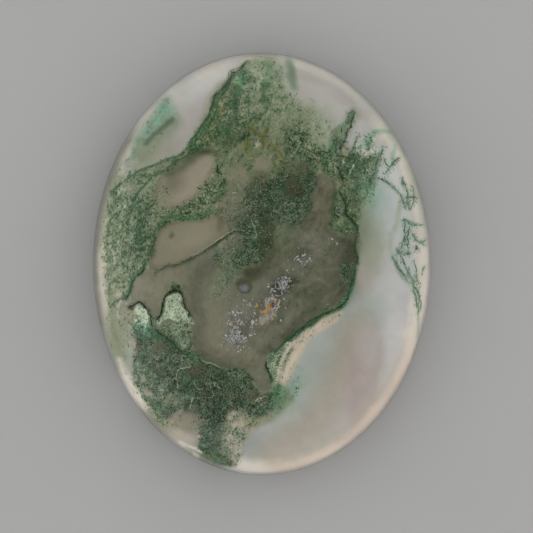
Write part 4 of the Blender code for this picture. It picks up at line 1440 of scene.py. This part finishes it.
def cloud_material():
    """Clouded chalcedony with green mottling, a fine dark net and pale fibres where they grow."""
    look = Look("clouded_chalcedony")
    moss, net, pale = look.split(look.stored("growth"))
    smoke = look.stored("growth", "Alpha")
    slanted = look.bent(BEND_SCALE, BEND, look.stretched(SLANT, SLANT_STRETCH))
    # Smoke in the clear part
    haze = look.noise(HAZE_SCALE, 5.0, 0.75, slanted)
    seen = look.darken(look.stored("tint"), look.curve(haze, 0.34, 0.5, 0.9, 0.0), smoke)
    seen = look.lighten(seen, look.curve(haze, 0.52, 0.68, 0.0, 0.7), smoke)
    # Green mottling
    mossy = look.curve(moss, 0.0, 0.8)
    patches = look.noise(PATCH_SCALE, 4.0, 0.7, slanted)
    seen = look.darken(seen, look.curve(patches, 0.38, 0.54, 0.6, 0.0), mossy)
    seen = look.lighten(seen, look.curve(patches, 0.50, 0.66, 0.0, 0.8), mossy)
    # Grains of moss, darker where they lie densest
    fine = look.noise(GRAIN_SCALE, 2.0, 0.6, slanted)
    grain = look.maths("ADD", look.times(fine, 0.6), look.times(patches, 0.4))
    shore = look.maths("SUBTRACT", grain, look.curve(moss, 0.0, 1.0, 0.39, 0.53))
    paleness = look.times(look.curve(shore, -0.07, -0.01), look.curve(net, 0.0, 1.0, 1.0, 0.2))
    green = look.mix(paleness, MOSS_DARK, MOSS_GREEN)
    grown = look.curve(moss, 0.0, 0.15, 0.0, 0.85)
    seen = look.over(seen, look.curve(shore, -0.03, 0.015, 1.0, 0.0), grown, green)
    seen = look.lighten(seen, look.curve(shore, 0.04, 0.12, 0.0, 0.8), mossy)
    # Dark net with paler cells between its lines
    bent = look.bent(BEND_SCALE, BEND, look.place)
    borders = look.cells(NET_SCALE, bent)
    lines = look.curve(borders, 0.04, 0.13, 1.0, 0.0)
    open_places = look.curve(look.noise(OPENING_SCALE, 3.0), 0.40, 0.60, 0.2, 1.0)
    seen = look.lighten(seen, look.curve(borders, 0.14, 0.32, 0.0, 0.8), net)
    dark = look.mix(look.curve(look.noise(SHADE_SCALE, 3.0), 0.40, 0.60), MOSS_DARK, MOSS_GREEN)
    seen = look.over(seen, lines, look.times(net, open_places), dark)
    # Pale fibres with a dark edge
    ridge = look.maths("ABSOLUTE", look.maths("SUBTRACT", look.noise(FIBRE_SCALE, 4.0, 0.65, bent), 0.5))
    here = look.times(look.curve(look.noise(TUFT_SCALE), 0.42, 0.56), look.curve(pale, 0.2, 0.9))
    seen = look.over(seen, look.curve(ridge, 0.03, 0.08, 0.9, 0.0), here, MOSS_BLACK)
    seen = look.over(seen, look.curve(ridge, 0.006, 0.028, 1.0, 0.0), here, SAGE)
    # Black flecks in the net
    flecks = look.curve(look.noise(FLECK_SCALE, 3.0, 0.6), 0.60, 0.66, 0.0, 0.8)
    seen = look.over(seen, flecks, look.curve(net, 0.2, 1.0), MOSS_BLACK)
    look.shade({"Base Color": seen, "Roughness": 0.6, "Specular IOR Level": 0.0})
    return look.material


def thread_material():
    """Moss threads: their own colour with small changes along them."""
    look = Look("moss_threads")
    change = look.curve(look.noise(THREAD_SCALE), 0.40, 0.70, 0.0, 0.35)
    varied = look.mix(change, look.stored("tint"), MOSS_MIXED)
    look.shade({"Base Color": varied, "Roughness": 0.7, "Specular IOR Level": 0.0})
    return look.material


def crack_material():
    """Thin healed cracks with a faint shine; their silver and white colours are painted glints."""
    look = Look("healed_cracks")
    dulled = look.mix(look.curve(look.noise(CRACK_SCALE), 0.55, 0.8), look.stored("tint"), SMOKE)
    look.shade({"Base Color": dulled, "Metallic": 0.1, "Roughness": 0.3})
    return look.material


def skin_material():
    """Clear chalcedony under a polish with the faintest unevenness."""
    look = Look("clear_chalcedony")
    look.shade({
        "Base Color": look.mix(look.noise(CLEAR_SCALE, 3.0), SKIN_GREYEST, SKIN_CLEAREST),
        "Roughness": look.curve(look.noise(POLISH_SCALE), 0.3, 0.7, 0.02, 0.05),
        "IOR": CHALCEDONY_IOR,
        "Transmission Weight": 1.0,
        "Specular Tint": POLISH_SHINE,
    })
    return look.material


# Pieces

def skin_rings():
    """Profile of the outer surface, from the top of the dome down to the middle of the base."""
    rings = []
    for i in range(DOME_STEPS + 1):
        u = math.sin(0.5 * math.pi * i / DOME_STEPS) ** (2.0 / DOME_POWER)
        rings.append((SHOULDER * u, float(dome(u))))
    for i in range(1, GIRDLE_STEPS + 1):
        t = i / GIRDLE_STEPS
        rings.append((SHOULDER + GIRDLE_LEAN * t, GIRDLE_HEIGHT + (BASE_BEVEL - GIRDLE_HEIGHT) * t))
    for i in range(1, BEVEL_STEPS + 1):
        a = 0.5 * math.pi * i / BEVEL_STEPS
        rings.append((HALF_WIDTH - BASE_BEVEL * (1 - math.cos(a)), BASE_BEVEL * (1 - math.sin(a))))
    for share in BASE_SHARES:
        rings.append(((HALF_WIDTH - BASE_BEVEL) * share, 0.0))
    rings.append((0.0, 0.0))
    return rings


def skin_piece():
    """The clear polished outside, which takes the place of the plain solid."""
    rings, steps = skin_rings(), STEPS_AROUND
    angles = 2.0 * math.pi * np.arange(steps) / steps
    points = [np.array([[0.0, 0.0, rings[0][1]]])]
    for radius, z in rings[1:-1]:
        x, y = radius * np.cos(angles), STRETCH * radius * np.sin(angles)
        points.append(np.stack([x, y, np.full(steps, z)], 1))
    points.append(np.array([[0.0, 0.0, rings[-1][1]]]))
    points = np.concatenate(points)
    j = np.arange(steps)
    after = (j + 1) % steps
    count = len(rings) - 2
    triangles = [np.stack([0 * j, 1 + j, 1 + after], 1)]
    for i in range(count - 1):
        a, b = 1 + i * steps + j, 1 + i * steps + after
        triangles += [np.stack([a, a + steps, b + steps], 1), np.stack([a, b + steps, b], 1)]
    last = 1 + (count - 1) * steps
    triangles.append(np.stack([last + j, np.full(steps, len(points) - 1), last + after], 1))
    piece = new_piece("polish", fast_mesh("polish", points, np.concatenate(triangles)), skin_material())
    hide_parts("cabochon")
    return piece


def lattice(count, radius):
    """Points on even rings with six more in each ring than in the last, and the triangles between them."""
    x, y = [np.zeros(1)], [np.zeros(1)]
    for k in range(1, count + 1):
        a = 2.0 * math.pi * np.arange(6 * k) / (6 * k)
        x.append(radius * k / count * np.cos(a))
        y.append(STRETCH * radius * k / count * np.sin(a))
    starts = [0] + [1 + 3 * k * (k - 1) for k in range(1, count + 1)]
    faces = []
    for k in range(1, count + 1):
        for s in range(6):
            i = np.arange(k)
            outer = starts[k] + s * k + i
            outer_after = starts[k] + (s * k + i + 1) % (6 * k)
            inner = starts[k - 1] + (s * (k - 1) + i) % max(6 * (k - 1), 1)
            faces.append(np.stack([outer, outer_after, inner], 1))
            if k > 1:
                i = i[:-1]
                inner_after = starts[k - 1] + (s * (k - 1) + i + 1) % (6 * (k - 1))
                faces.append(np.stack([inner[:-1], outer_after[:-1], inner_after], 1))
    return np.concatenate(x), np.concatenate(y), np.concatenate(faces), starts[count]


def cloud_piece():
    """The clouded body: a fine painted top that sinks where the stone is clear, and a flat bottom."""
    radius = HALF_WIDTH - SKIN_SIDE
    x, y, top, rim_start = lattice(CLOUD_RINGS, radius)
    outward = np.clip(out_from_middle(x, y, radius), 0.0, 1.0)
    rise = HEIGHT - SKIN_TOP - CLOUD_SHOULDER
    shell = CLOUD_SHOULDER + rise * (1.0 - outward ** DOME_POWER) ** (1.0 / DOME_POWER)
    depth = depth_below_polish(x, y)
    for _ in range(DEPTH_ROUNDS):
        sx, sy = seen_place(x, y, depth)
        depth = depth_below_polish(sx, sy)
    z = np.maximum(shell - (depth - SKIN_TOP), CLOUD_LOWEST)
    sx, sy = seen_place(x, y, depth)
    gem = paint(Gem(sx, sy))
    count = 6 * CLOUD_RINGS
    rim = rim_start + np.arange(count)
    foot = len(x) + np.arange(count)
    after = np.roll(np.arange(count), -1)
    middle = len(x) + count
    flare = 1.0 + FOOT_FLARE / radius
    points = np.concatenate([
        np.stack([x, y, z], 1),
        np.stack([x[rim] * flare, y[rim] * flare, np.full(count, SKIN_BASE)], 1),
        np.array([[0.0, 0.0, SKIN_BASE]]),
    ])
    triangles = np.concatenate([
        top,
        np.stack([rim, foot, foot[after]], 1),
        np.stack([rim, foot[after], rim[after]], 1),
        np.stack([foot[after], foot, np.full(count, middle)], 1),
    ])
    mesh = fast_mesh("cloud", points, triangles)
    give_colour(mesh, "tint", np.concatenate([gem.colour, gem.colour[rim], GREEN_GREY[None]]))
    growth = np.concatenate([gem.growth, 0.5 * gem.growth[rim], np.full((1, 3), 0.3)])
    give_colour(mesh, "growth", growth, np.concatenate([gem.smoke, np.zeros(count + 1)]))
    return new_piece("cloud", mesh, cloud_material())


# Floor, light and camera

def lay_floor():
    """The pale floor, a hair below the stone."""
    bpy.ops.mesh.primitive_plane_add(size=FLOOR_SIZE, location=(0.0, 0.0, -FLOOR_GAP))
    floor = bpy.context.object
    floor.name = "floor"
    look = Look("floor")
    look.shade({"Base Color": look.mix(look.noise(FLOOR_SCALE), FLOOR_DARK, FLOOR_LIGHT), "Roughness": 0.9})
    floor.data.materials.append(look.material)


def light_sky():
    """Light from all around, dim overhead so that the polish shows no bright patch there."""
    world = bpy.data.worlds.new("studio")
    bpy.context.scene.world = world
    world.use_nodes = True
    nodes, links = world.node_tree.nodes, world.node_tree.links
    background = nodes["Background"]
    place = nodes.new("ShaderNodeTexCoord")
    split = nodes.new("ShaderNodeSeparateXYZ")
    ramp = nodes.new("ShaderNodeValToRGB")
    links.new(place.outputs["Generated"], split.inputs["Vector"])
    links.new(split.outputs["Z"], ramp.inputs["Fac"])
    links.new(ramp.outputs["Color"], background.inputs["Color"])
    white, dim = ramp.color_ramp.elements
    white.position = SKY_WHITE_UP_TO
    white.color = SKY_WHITE
    dim.position = SKY_DIM_FROM
    dim.color = SKY_DIM
    background.inputs["Strength"].default_value = SKY_STRENGTH


def place_camera():
    """The photograph's view."""
    data = bpy.data.cameras.new("camera")
    data.sensor_width = SENSOR
    data.lens = SENSOR * CAMERA_HEIGHT / FIELD
    data.clip_start = CAMERA_NEAR
    eye = bpy.data.objects.new("camera", data)
    eye.location = (*VIEW_CENTRE, CAMERA_HEIGHT)
    bpy.context.scene.collection.objects.link(eye)
    bpy.context.scene.camera = eye


skin_piece()
cloud_piece()
moss = thread_material()
cracks = crack_material()
drawn_lines("lines_dark", DARK_LINES, 0.22, moss)
drawn_lines("lines_pale", PALE_LINES, 0.18, moss)
drawn_lines("fronds", FRONDS, 0.26, moss)
tangle("tangle_dark", 1700, dark_chance, (MOSS_DARK, MOSS_GREEN, MOSS_DARK), 31, moss)
tangle("tangle_pale", 1600, pale_chance, (SAGE, GREEN_GREY, TEAL), 32, moss, width=(0.03, 0.07), curl=4.5)
tangle("tangle_plume", 420, plume_chance, (MOSS_GREEN, OLIVE, MOSS_GREEN), 35, moss, curl=1.0, ahead=240)
tangle("twigs", 900, beside(FRONDS), (FROND, MOSS_GREEN, PALE_TEAL), 36, moss,
       length=(0.15, 0.45), width=(0.04, 0.08), curl=3.0)
tangle("line_twigs", 1300, beside(DARK_LINES), (MOSS_DARK, MOSS_GREEN, MOSS_GREEN), 37, moss,
       length=(0.12, 0.3), width=(0.04, 0.08), curl=3.0)
tangle("tangle_dense", 2000, dense_chance, (MOSS_BLACK, MOSS_DARK, GREEN_GREY, TAN), 38, moss,
       length=(0.1, 0.3), curl=6.0)
tangle("strands", 340, strand_chance, (MOSS_BLACK, GREEN_GREY, MOSS_BLACK, MOSS_GREEN), 39, moss,
       length=(0.3, 0.9), curl=1.5, ahead=255)
tangle("crack_web", 420, web_chance, (SILVER_GLINT, WHITE, SLATE), 33, cracks,
       length=(0.12, 0.45), width=(0.03, 0.06))
flakes("flakes", cracks)
lay_floor()
light_sky()
place_camera()
bpy.context.scene.view_settings.view_transform = "Standard"
